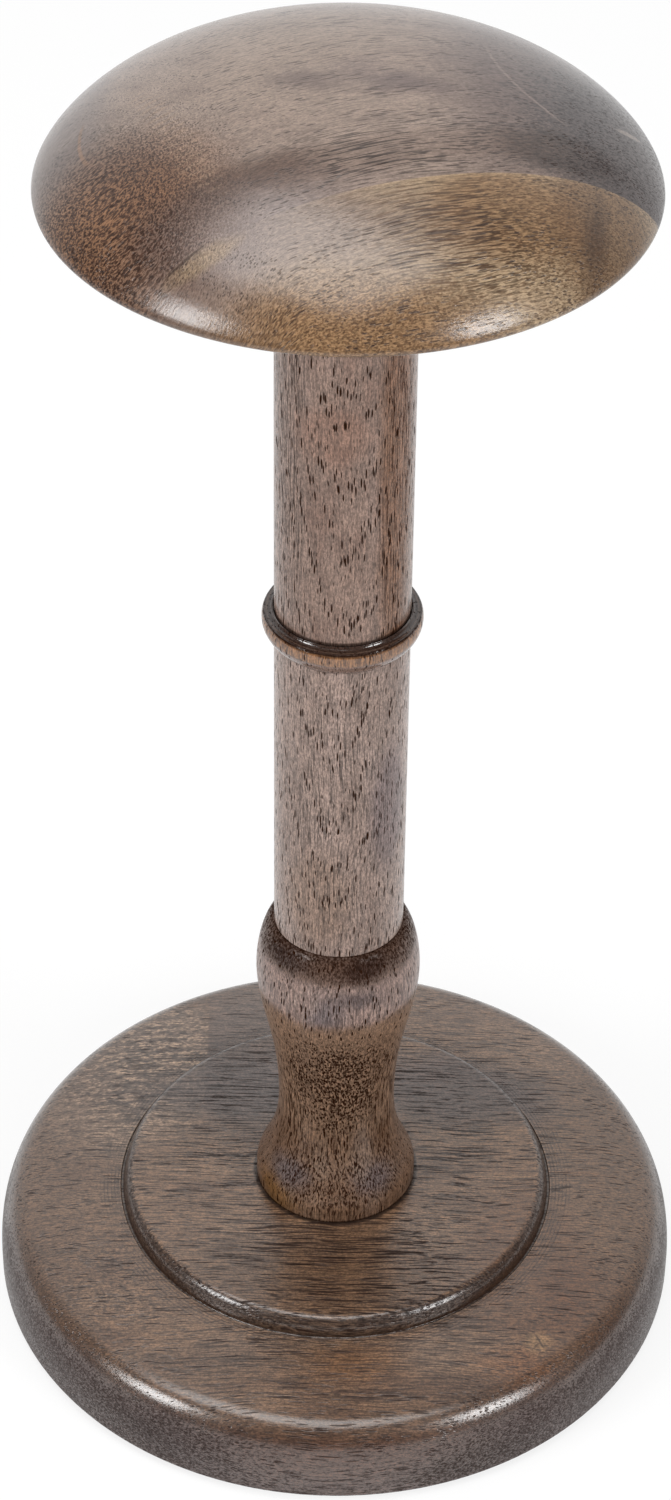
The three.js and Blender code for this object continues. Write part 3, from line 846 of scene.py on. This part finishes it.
VASE_MARKS = (
    band((162, 136, 126), "z", 100, 114, 0.9, 5.0, 2.0),
    strands((182, 158, 146), (-6, -19, 104), (9, 6, 9), 10.0, 0.6, 0.36, 0.7, 3.0),
    spot((96, 88, 94), (-3, -20, 104), (4, 6, 6), 0.7, 7.0, 0.8),
    spot((82, 70, 72), (5, -20, 109), (6, 6, 3), 0.7, 6.0, 0.7),
    band((100, 76, 64), "z", 113.4, 130, 0.92, 5.0, 2.0),
    spot((52, 36, 31), (7, -18, 117), (6, 8, 3), 0.8, 3.0, 0.7),
    spot((62, 52, 51), (-13, -12, 117), (6, 8, 3), 0.7, 3.0, 0.7),
    band((152, 121, 98), "z", 56, 99, 0.9, 4.0, 3.0),
    spot((100, 93, 99), (-12, -13, 42), (5, 6, 4), 0.6, 4.0, 0.7),
    spot((100, 91, 97), (10, -15, 41.5), (5, 6, 4), 0.6, 4.0, 0.7),
    spot((134, 94, 46), (-15, -13, 34), (6, 8, 4), 0.7, 4.0, 0.7),
    spot((150, 126, 110), (7, -15, 50), (3.0, 4, 9), 0.5, 3.0),
    spot((146, 122, 104), (-4, -16, 50), (2.4, 4, 7), 0.4, 3.0),
    *within("z", 56, 96, 3.0, dots((40, 20, 11), (0, -14, 78), (12, 8, 26), 0.66, 0.95)),
    grit((46, 24, 13), (2, -16, 76), (11, 8, 17), 0.6, 0.5, 0.85),
    # Painted contact shadow round the bottom of the foot, where it stands on the base
    band((22, 14, 10), "z", 29.0, 31.2, 0.8, 0.3, 0.3),
    strands((52, 28, 15), (-12, -12, 66), (5, 8, 26), 8.0, 0.45, 0.42, 0.85),
    strands((52, 28, 15), (14, -10, 66), (5, 8, 26), 8.0, 0.45, 0.42, 0.85),
    strands((46, 24, 14), (0, -20, 44), (22, 10, 14), 8.0, 0.45, 0.36, 0.85),
    grit((46, 30, 23), (0, 0, 121), (30, 30, 8), 0.6, 0.42, 0.85),
    strands((74, 58, 54), (0, 0, 105), (30, 30, 9), 5.0, 0.5, 0.36, 0.7),
)
RING_MARKS = (
    band((72, 54, 47), "z", 216.4, 220, 0.9, 0.3, 0.5),
    # Painted highlight: a pale line on the cove, just inside the ring's edge
    *within("z", 216.7, 220, 0.3, band((170, 140, 122), "reach", 17.9, 18.35, 0.6, 0.2, 0.15)),
    band((44, 24, 13), "z", 216.45, 216.85, 0.8, 0.3, 0.12),
    band((160, 112, 72), "z", 213.7, 216.3, 0.9, 0.8, 0.3),
    band((142, 118, 108), "z", 209, 213.4, 0.85, 0.8, 0.3),
    # Painted shade: a thin dark line just above the ring's bottom, where it meets the lower post
    band((60, 44, 40), "z", 210.2, 210.6, 0.7, 0.2, 0.12),
    *within("z", 213.4, 216.3, 0.3,
        strands((74, 40, 20), (0, 0, 215.2), (30, 30, 2.4), 4.0, 0.42, 0.4, 0.8, 1.0)),
)

base_wood = wood(
    "base_wood", 0.0, ((146, 113, 86), (136, 103, 77), (115, 84, 61)),
    dict(across=40.0, depth=-60.0, lean=(0.03, 0.0), spacing=4.0, contrast=0.12),
    DISC_FIGURE, BASE_MARKS, seed=2.3)
head_wood = wood(
    "head_wood", 18.0, ((161, 141, 128), (152, 132, 119), (135, 115, 104)),
    dict(across=60.0, depth=290.0, lean=(-0.05, 0.0), spacing=6.0, contrast=0.12),
    HEAD_FIGURE, HEAD_MARKS, climb=(-26.0, -62.0, 40.0), seed=7.9)
upper_post_wood = wood(
    "upper_post_wood", "Z", ((162, 135, 122), (153, 126, 112), (137, 108, 94)),
    dict(across=-10.0, depth=60.0, lean=(0.0, 0.12), spacing=2.1, contrast=0.15),
    STEM_FIGURE, UPPER_POST_MARKS, seed=4.1)
lower_post_wood = wood(
    "lower_post_wood", "Z", ((171, 147, 136), (163, 139, 127), (146, 122, 110)),
    dict(across=8.0, depth=60.0, lean=(0.02, 0.13), spacing=2.0, contrast=0.15),
    STEM_FIGURE, LOWER_POST_MARKS, seed=11.4)
vase_wood = wood(
    "vase_wood", "Z", ((140, 110, 88), (126, 96, 75), (104, 76, 56)),
    dict(across=4.0, depth=50.0, lean=(0.0, 0.1), spacing=2.4, contrast=0.15),
    VASE_FIGURE, VASE_MARKS, seed=17.2)
ring_wood = wood(
    "ring_wood", "Z", ((128, 90, 64), (112, 77, 53), (88, 60, 42)),
    dict(across=3.0, depth=50.0, lean=(0.0, 0.0), spacing=2.4, contrast=0.15),
    RING_FIGURE, RING_MARKS, seed=23.6)


# Metal and felt. FELT_FINE and FELT_LONG are how many fibres lie in a millimetre, across and along them
METAL_CLOUD_SIZE = 1.5
METAL_CLOUD_SHARES = (0.3, 0.7)
METAL_DULL_SHARE = 0.8
METAL_DULL_ROUGHNESS = 0.12
FELT_FINE, FELT_LONG = 9.0, 2.5
FELT_SHARES = (0.4, 0.75)
FELT_DARK, FELT_LIGHT = (30, 27, 25), (74, 68, 64)
FELT_ROUGHNESS, FELT_RELIEF, FELT_SHEEN = 0.95, 0.8, 0.3
FELT_NAP_DEPTH = 0.2 * MM


def metal(name, colour, roughness):
    """Plated metal with a faint cloudy finish."""
    material, graph = new_material(name)
    place = graph.scaled(surface_place(graph), 1 / METAL_CLOUD_SIZE)
    cloud = graph.noise(place, detail=4.0, roughness=0.6)
    bright = paint(*colour)
    dull = (*[METAL_DULL_SHARE * level for level in bright[:3]], 1.0)
    return finished(material, graph, {
        "Base Color": graph.mix(graph.ease(cloud, *METAL_CLOUD_SHARES), dull, bright), "Metallic": 1.0,
        "Roughness": graph.ease(cloud, *METAL_CLOUD_SHARES, roughness + METAL_DULL_ROUGHNESS, roughness)})


def felt():
    """Pressed felt: short crossing fibres with a soft nap."""
    material, graph = new_material("felt")
    place = surface_place(graph)
    fibres = [
        graph.noise(graph.vector("MULTIPLY", place, pace), detail=3.0, roughness=0.7)
        for pace in ((FELT_FINE, FELT_LONG, FELT_FINE), (FELT_LONG, FELT_FINE, FELT_FINE))]
    nap = graph.math("MAXIMUM", *fibres)
    return finished(material, graph, {
        "Base Color": graph.mix(graph.ease(nap, *FELT_SHARES), paint(*FELT_DARK), paint(*FELT_LIGHT)),
        "Roughness": FELT_ROUGHNESS, "Normal": graph.bump(FELT_RELIEF, FELT_NAP_DEPTH, nap),
        "Sheen Weight": FELT_SHEEN})


steel = metal("zinc_plated_steel", (196, 197, 199), 0.28)
insert_alloy = metal("zinc_alloy", (178, 172, 160), 0.42)
pad_felt = felt()


def points(*places):
    return [point(radius, height) for radius, height in places]


def clear_of(node, way):
    """The height just above a piece's box if way is 1, or just below it if way is -1."""
    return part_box(node)[1].z + BORE_END_GAP if way > 0 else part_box(node)[0].z - BORE_END_GAP


def stepped_bore(screw_end, insert_end, mouth):
    """The hole for a screw and its insert, from its blind end on the axis to its mouth."""
    return points(
        (0, screw_end), (THREAD_HOLE_RADIUS, screw_end), (THREAD_HOLE_RADIUS, insert_end),
        (INSERT_BORE_RADIUS, insert_end), (INSERT_BORE_RADIUS, mouth))


def base_rim(radius, side_top, rim_top):
    """The rim's curve, from the top of the plain side to the outer edge of the domed ring."""
    inner = radius - RIM_WIDTH
    turn_width = RIM_TOP_SHARE * RIM_WIDTH
    slope = 2 * DOMED_RING_RISE / DOMED_RING_WIDTH
    return bend(
        point(radius, side_top),
        point(radius, side_top + RIM_SIDE_SHARE * RIM_HEIGHT),
        point(inner + turn_width, rim_top - slope * turn_width),
        point(inner, rim_top))


def on_ring(lip, ring_top, radius, depth=0.0):
    """A point on the gently domed ring, or a little below its surface."""
    share = (radius - lip) / DOMED_RING_WIDTH
    return point(radius, ring_top - DOMED_RING_RISE * share * share - depth)


def base_piece(node):
    low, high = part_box(node)
    radius, bottom, plateau_top = high.x, low.z, high.z
    side_top = bottom + BASE_SIDE_HEIGHT
    rim_top = side_top + RIM_HEIGHT
    ring_top = rim_top + DOMED_RING_RISE
    lip = radius - RIM_WIDTH - DOMED_RING_WIDTH
    groove_inner = lip - GROOVE_WIDTH
    plateau = groove_inner - PLATEAU_EDGE_WIDTH
    plateau_rise = PLATEAU_RISE + GROOVE_DEPTH
    groove_floor = ring_top - GROOVE_DEPTH
    washer_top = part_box("base_washer")[1].z
    counterbore_top = point(COUNTERBORE_RADIUS, washer_top)
    lip_corner, groove_corner = point(lip, ring_top), point(lip, groove_floor)
    socket_radius = SPIGOT_RADIUS + FIT_CLEARANCE
    socket_end = point(socket_radius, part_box("vase_foot")[0].z - BORE_END_GAP)
    edge_centre = point(radius - BASE_EDGE_ROUND, bottom + BASE_EDGE_ROUND)
    outline = fillet(counterbore_top, point(COUNTERBORE_RADIUS, bottom), edge_centre, EDGE_BREAK)
    outline += quarter_arc(edge_centre, BASE_EDGE_ROUND, BASE_EDGE_ROUND, -1, 0, BASE_EDGE_STEPS)
    outline += base_rim(radius, side_top, rim_top)
    plain_width = DOMED_RING_WIDTH - LINED_WIDTH
    for step in range(RING_STEPS - 1, 0, -1):
        outline.append(on_ring(lip, ring_top, lip + LINED_WIDTH + plain_width * step / RING_STEPS))
    for line in range(TURNING_LINES, 0, -1):
        centre = lip + LIP_ROUND + (line - 0.5) * TURNING_LINE_PITCH
        outline += [
            on_ring(lip, ring_top, centre + TURNING_LINE_WIDTH / 2),
            on_ring(lip, ring_top, centre, TURNING_LINE_DEPTH),
            on_ring(lip, ring_top, centre - TURNING_LINE_WIDTH / 2),
        ]
    outline += fillet(point(lip + 2 * LIP_ROUND, ring_top), lip_corner, groove_corner, LIP_ROUND)
    outline += fillet(lip_corner, groove_corner, point(groove_inner, groove_floor), GROOVE_ROUND)
    outline += quarter_arc(point(plateau, groove_floor), PLATEAU_EDGE_WIDTH, plateau_rise, 0, 1)
    outline += fillet(point(plateau, plateau_top), point(socket_radius, plateau_top), socket_end, EDGE_BREAK)
    outline += [socket_end, *points((THREAD_HOLE_RADIUS, socket_end.y), (THREAD_HOLE_RADIUS, washer_top))]
    outline.append(counterbore_top)
    return turned("base_wood_disc", outline, DISC_SEGMENTS, base_wood, closed=True)


def vase_piece(node):
    low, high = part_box(node)
    spigot_bottom, top = low.z, high.z
    plateau_top = spigot_bottom + SPIGOT_LENGTH
    side_top = plateau_top + FOOT_SIDE_HEIGHT
    waist = side_top + FOOT_TO_WAIST
    bulb = waist + WAIST_TO_BULB
    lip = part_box("upper_post")[1].x + SHOULDER_LIP
    foot_leave, waist_arrive = [share * FOOT_TO_WAIST for share in FOOT_CURVE_SHARES]
    waist_leave, bulb_arrive = [share * WAIST_TO_BULB for share in BULB_CURVE_SHARES]
    bulb_rise, lip_width, lip_drop = SHOULDER_CURVE_SHARES
    socket_radius = TENON_RADIUS + FIT_CLEARANCE
    socket_bottom = top - TENON_LENGTH - BORE_END_GAP
    outline = stepped_bore(clear_of("base_bolt", 1), clear_of("foot_insert", 1), spigot_bottom)
    outline += points(
        (SPIGOT_RADIUS - SPIGOT_CHAMFER, spigot_bottom), (SPIGOT_RADIUS, spigot_bottom + SPIGOT_CHAMFER),
        (SPIGOT_RADIUS, plateau_top))
    foot_edge, thinnest = point(FOOT_RADIUS, side_top), point(WAIST_RADIUS, waist)
    widest = point(BULB_RADIUS, bulb)
    outline += fillet(outline[-1], point(FOOT_RADIUS, plateau_top), foot_edge, EDGE_BREAK)
    outline += bend(
        foot_edge,
        point(FOOT_RADIUS, side_top + foot_leave),
        point(WAIST_RADIUS, waist - waist_arrive),
        thinnest)
    outline += bend(
        thinnest,
        point(WAIST_RADIUS, waist + waist_leave),
        point(BULB_RADIUS, bulb - bulb_arrive),
        widest)[1:]
    outline += bend(
        widest,
        point(BULB_RADIUS, bulb + bulb_rise * SHOULDER_HEIGHT),
        point(lip + lip_width * (BULB_RADIUS - lip), top - lip_drop * SHOULDER_HEIGHT),
        point(lip, top - JOINT_CHAMFER))[1:]
    outline += points(
        (lip - JOINT_CHAMFER, top), (socket_radius, top), (socket_radius, socket_bottom), (0, socket_bottom))
    return turned("vase_wood_foot", outline, STEM_SEGMENTS, vase_wood)


def lower_post_piece(node):
    low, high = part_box(node)
    radius, shoulder = high.x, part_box("vase_foot")[1].z
    outline = points(
        (0, low.z), (TENON_RADIUS - TENON_CHAMFER, low.z), (TENON_RADIUS, low.z + TENON_CHAMFER),
        (TENON_RADIUS, shoulder), (radius, shoulder), (radius, high.z))
    outline += reversed(stepped_bore(clear_of("mid_stud", -1), clear_of("mid_insert", -1), high.z))
    outline = softened(outline, JOINT_CHAMFER)
    return turned("lower_post_wood", outline, STEM_SEGMENTS, lower_post_wood)


def ring_piece(node):
    low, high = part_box(node)
    bottom, top, radius = low.z, high.z, high.x
    socket_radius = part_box("upper_post")[1].x + FIT_CLEARANCE
    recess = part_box("upper_post")[0].z
    widest, edge_height = bottom + RING_WIDEST_HEIGHT, bottom + RING_EDGE_HEIGHT
    edge = point(radius - RING_EDGE_INSET, edge_height)
    foot_width, foot_height, widest_drop = RING_FLANK_SHARES
    foot_leave = RING_FOOT_RADIUS + foot_width * (radius - RING_FOOT_RADIUS)
    outline = points((THREAD_HOLE_RADIUS, bottom), (RING_FOOT_RADIUS - EDGE_BREAK, bottom))
    outline += bend(
        point(RING_FOOT_RADIUS, bottom + EDGE_BREAK),
        point(foot_leave, bottom + foot_height * RING_WIDEST_HEIGHT),
        point(radius, widest - widest_drop * RING_WIDEST_HEIGHT),
        point(radius, widest))
    over_edge = point(radius, (widest + edge_height) / 2)
    into_edge = over_edge.lerp(edge, RING_EDGE_SHARE)
    outline += bend(point(radius, widest), over_edge, into_edge, edge, RING_EDGE_STEPS)[1:]
    cove_end = point(socket_radius, top)
    across, up = COVE_SHARES
    cove = point(cove_end.x + across * (edge.x - cove_end.x), edge.y + up * (top - edge.y))
    outline += bend(edge, cove, cove, cove_end, COVE_STEPS)[1:]
    outline += points((socket_radius, recess), (THREAD_HOLE_RADIUS, recess))
    return turned("ring_wood_collar", outline, STEM_SEGMENTS, ring_wood, closed=True)


def upper_post_piece(node):
    low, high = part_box(node)
    lower_bore, upper_bore = clear_of("mid_stud", 1), clear_of("head_stud", -1)
    outline = softened(points(
        (0, lower_bore), (WOOD_THREAD_BORE_RADIUS, lower_bore), (WOOD_THREAD_BORE_RADIUS, low.z),
        (high.x, low.z), (high.x, high.z),
        (WOOD_THREAD_BORE_RADIUS, high.z), (WOOD_THREAD_BORE_RADIUS, upper_bore), (0, upper_bore),
    ), JOINT_CHAMFER)
    return turned("upper_post_wood", outline, STEM_SEGMENTS, upper_post_wood)


def head_piece(node):
    low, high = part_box(node)
    radius, underside, top = high.x, low.z, high.z
    rim = underside + HEAD_UNDER_HEIGHT
    dome = top - rim
    socket_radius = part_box("upper_post")[1].x + FIT_CLEARANCE
    socket_top = underside + HEAD_SOCKET_DEPTH
    outline = stepped_bore(clear_of("head_stud", 1), clear_of("head_insert", 1), socket_top)
    outline.append(point(socket_radius, socket_top))
    flat = radius - HEAD_UNDER_WIDTH
    outline += fillet(outline[-1], point(socket_radius, underside), point(flat, underside), EDGE_BREAK)
    outline += quarter_arc(point(flat, rim), HEAD_UNDER_WIDTH, HEAD_UNDER_HEIGHT, -1, 0, HEAD_EDGE_STEPS)
    outline += bend(
        point(radius, rim),
        point(radius, rim + HEAD_RIM_SHARE * dome),
        point(HEAD_CROWN_SHARE * radius, top),
        point(0, top), CROWN_STEPS)[1:]
    return turned("head_wood_dome", outline, DISC_SEGMENTS, head_wood)


def bolt_piece(node):
    """Button-head bolt with a hexagon socket, standing on its head."""
    low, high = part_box(node)
    bottom, tip, head_radius = low.z, high.z, high.x
    head_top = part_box("base_washer")[0].z

    def hexagon(spin):
        return HEX_ACROSS_FLATS / 2 / math.cos(spin % HEX_CORNER - HEX_CORNER / 2)

    def chamfered(height):
        return THREAD_RADIUS - max(0.0, height - (tip - THREAD_END_CHAMFER))

    rings = [ring_of(hexagon, bottom + HEX_DEPTH), ring_of(hexagon, bottom + HEX_MOUTH)]
    rings.append(ring_of(lambda spin: hexagon(spin) + HEX_MOUTH, bottom))
    dome_centre = point(HEAD_FLAT_RADIUS, head_top - EDGE_BREAK)
    dome_width, dome_height = head_radius - dome_centre.x, dome_centre.y - bottom
    dome = quarter_arc(dome_centre, dome_width, dome_height, -1, 0, BOLT_DOME_STEPS)
    rings += [plain_ring(place.x, place.y) for place in dome]
    rings += [plain_ring(head_radius - EDGE_BREAK, head_top), plain_ring(THREAD_RADIUS, head_top)]
    rings += thread_rings(
        head_top + MACHINE_PITCH, tip, MACHINE_ROOT_RADIUS, THREAD_RADIUS, MACHINE_PITCH, chamfered)
    return skinned("bolt_with_thread", rings, steel)


def washer_piece(node):
    low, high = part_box(node)
    corners = points(
        (THREAD_HOLE_RADIUS, low.z), (high.x, low.z), (high.x, high.z), (THREAD_HOLE_RADIUS, high.z))
    outline = softened(corners, EDGE_BREAK, closed=True)
    return turned("washer_rounded", outline, HARDWARE_SEGMENTS, steel, closed=True)


def hanger_piece(node):
    """Hanger bolt: a machine thread that points out of the end of the upper post, and a wood thread in it."""
    low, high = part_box(node)
    post_low, post_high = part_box("upper_post")
    if high.z > post_high.z:
        joint, reach, way = post_high.z, high.z - post_high.z, 1
    else:
        joint, reach, way = post_low.z, post_low.z - low.z, -1

    def pointed(height):
        from_tip = way * (height - joint) + WOOD_THREAD_LENGTH
        return max(THREAD_TIP_RADIUS, WOOD_THREAD_RADIUS * from_tip / WOOD_TIP_LENGTH)

    def chamfered(height):
        return THREAD_RADIUS - max(0.0, way * (height - joint) - (reach - THREAD_END_CHAMFER))

    wood_tip, wood_end = joint - way * WOOD_THREAD_LENGTH, joint - way * PLAIN_SHANK
    rings = thread_rings(wood_tip, wood_end, WOOD_ROOT_RADIUS, WOOD_THREAD_RADIUS, WOOD_PITCH, pointed)
    rings += [plain_ring(MACHINE_ROOT_RADIUS, height) for height in (joint - way * EDGE_BREAK, joint)]
    start, end = joint + way * EDGE_BREAK, joint + way * reach
    rings += thread_rings(start, end, MACHINE_ROOT_RADIUS, THREAD_RADIUS, MACHINE_PITCH, chamfered)
    if way < 0:
        rings.reverse()
    return skinned(node + "_threaded", rings, steel)


def insert_piece(node):
    """Sleeve with a coarse thread outside that bites into the wood, and a machine thread inside."""
    low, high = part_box(node)
    bottom, top, crest = low.z, high.z, high.x

    def chamfered(height):
        return crest - max(0.0, THREAD_END_CHAMFER - min(height - bottom, top - height))

    rings = thread_rings(bottom, top, INSERT_ROOT_RADIUS, crest, INSERT_PITCH, chamfered)
    rings += thread_rings(top, bottom, THREAD_HOLE_RADIUS, INSERT_CREST_RADIUS, MACHINE_PITCH)
    return skinned(node + "_threaded", rings, insert_alloy, closed=True)


def pad_piece(node):
    """Felt disc with a slightly uneven, fuzzy face and edge."""
    low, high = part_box(node)
    middle = (low + high) / 2
    radius, bottom, top = (high.x - low.x) / 2, low.z, high.z
    flat = radius - PAD_EDGE_ROUND
    flat_radii = [flat * step / PAD_RINGS for step in range(1, PAD_RINGS)]
    outline = points(*[(reach, bottom) for reach in flat_radii])
    for height, start in ((bottom + PAD_EDGE_ROUND, -1), (top - PAD_EDGE_ROUND, 0)):
        outline += quarter_arc(
            point(flat, height), PAD_EDGE_ROUND, PAD_EDGE_ROUND, start, start + 1, PAD_EDGE_STEPS)
    outline += points(*[(reach, top) for reach in reversed(flat_radii)])
    rings = []
    for place, normal in zip(outline, outline_normals(outline, False)):
        ring = []
        for x, y, z in plain_ring(place.x, place.y):
            worn = PAD_FUZZ * max(0.0, noise.noise(Vector((middle.x + x, middle.y + y, z)) / PAD_FUZZ_SIZE))
            shrink = 1 - worn * normal.x / place.x
            ring.append((middle.x + x * shrink, middle.y + y * shrink, z - worn * normal.y))
        rings.append(ring)
    return skinned(node + "_fuzzy", rings, pad_felt)


for build, slot, nodes in (
    (base_piece, "base_wood", "base_disc"),
    (vase_piece, "vase_wood", "vase_foot"),
    (lower_post_piece, "post_wood", "lower_post"),
    (ring_piece, "ring_wood", "mid_ring"),
    (upper_post_piece, "post_wood", "upper_post"),
    (head_piece, "head_wood", "head_dome"),
    (bolt_piece, "steel", "base_bolt"),
    (washer_piece, "steel", "base_washer"),
    (hanger_piece, "steel", "mid_stud head_stud"),
    (insert_piece, "insert_alloy", "foot_insert mid_insert head_insert"),
    (pad_piece, "felt", "felt_pad_1 felt_pad_2 felt_pad_3 felt_pad_4"),
):
    for node in nodes.split():
        made = build(node)
        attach(made, "root")
        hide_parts(node)


# The studio. A level is the brightness of a white surface
WORLD_LEVEL = 0.34
ROOM_LEVEL = 0.06
BACKDROP_LEVEL = 0.85
BACKDROP_TURN = 0.8
FLOOR_HALF = 3.0
FLOOR_GLOW_SHARE = 0.75
FLOOR_GLOW = 1.06
FLOOR_COLOUR = (0.9, 0.9, 0.9, 1.0)
WHITE = (1.0, 1.0, 1.0, 1.0)
SOFTBOX_POWER = 24.0

# Each softbox's name, place, the place it points at, and its size
SOFTBOXES = (
    ("left_softbox", (-1.85, -1.20, 1.28), (0.0, 0.0, 0.2), (0.75, 0.95)),
    ("right_softbox", (1.69, -1.41, 1.28), (0.0, 0.0, 0.2), (0.75, 0.95)),
    ("top_softbox", (-0.25, -0.28, 2.35), (-0.1, -0.1, 0.35), (1.9, 1.4)),
)


def seen_rays(graph):
    """Rays that the camera sends, and rays that show a thing by reflection or through glass."""
    rays = graph.node("ShaderNodeLightPath").outputs
    mirrored = graph.math("ADD", rays["Is Glossy Ray"], rays["Is Transmission Ray"])
    return rays["Is Camera Ray"], mirrored


def backdrop():
    """White all round for the eye. Gloss sees it behind the object, and a dark room on the camera's side."""
    world = bpy.data.worlds.new("studio")
    world.use_nodes = True
    bpy.context.scene.world = world
    graph = Graph(world.node_tree)
    straight, mirrored = seen_rays(graph)
    direction = graph.split(graph.node("ShaderNodeTexCoord").outputs["Generated"])
    room = graph.ease(direction[1], 0.0, BACKDROP_TURN, ROOM_LEVEL, BACKDROP_LEVEL)
    strength = graph.math("MULTIPLY_ADD", mirrored, graph.math("SUBTRACT", room, WORLD_LEVEL), WORLD_LEVEL)
    strength = graph.math("MULTIPLY_ADD", straight, 1.0 - WORLD_LEVEL, strength)
    light = graph.node("ShaderNodeBackground", {"Color": WHITE, "Strength": strength})
    graph.node("ShaderNodeOutputWorld", {"Surface": light.outputs[0]})


def floor():
    """A pale floor that takes shadows, and glows a little where it is seen so that it meets the backdrop."""
    material, graph = new_material("pale_floor")
    diffuse = graph.node("ShaderNodeBsdfDiffuse", {"Color": FLOOR_COLOUR})
    glow = graph.node("ShaderNodeEmission", {"Color": WHITE, "Strength": FLOOR_GLOW})
    straight, mirrored = seen_rays(graph)
    share = graph.times(graph.math("ADD", straight, mirrored, clamp=True), FLOOR_GLOW_SHARE)
    mixed = graph.node("ShaderNodeMixShader", {0: share, 1: diffuse.outputs[0], 2: glow.outputs[0]})
    graph.node("ShaderNodeOutputMaterial", {"Surface": mixed.outputs[0]})
    corners = [(x * FLOOR_HALF, y * FLOOR_HALF, 0.0) for x, y in ((-1, -1), (1, -1), (1, 1), (-1, 1))]
    mesh_piece("floor", corners, [(0, 1, 2, 3)], material)


def softbox(name, place, aim, size):
    lamp = bpy.data.lights.new(name, "AREA")
    lamp.shape = "RECTANGLE"
    lamp.size, lamp.size_y = size
    lamp.energy = SOFTBOX_POWER
    holder = linked(name, lamp)
    holder.location = place
    holder.rotation_euler = (Vector(aim) - Vector(place)).to_track_quat("-Z", "Y").to_euler()
    holder.visible_camera = False


def camera():
    data = bpy.data.cameras.new("camera")
    data.sensor_fit = "AUTO"
    data.sensor_width = SENSOR
    data.lens = PHOTO_FOCAL_PIXELS / PHOTO_HEIGHT_PIXELS * SENSOR
    data.clip_start, data.clip_end = CAMERA_CLIP
    holder = linked("camera", data)
    holder.location = CAMERA_PLACE
    tilt = Euler((math.radians(90 - CAMERA_DOWN), 0, 0)).to_matrix()
    roll = Matrix.Rotation(math.radians(CAMERA_ROLL), 3, "Z")
    holder.rotation_euler = (tilt @ roll).to_euler()
    bpy.context.scene.camera = holder


bpy.context.scene.view_settings.view_transform = "Standard"
backdrop()
floor()
camera()
for box in SOFTBOXES:
    softbox(*box)
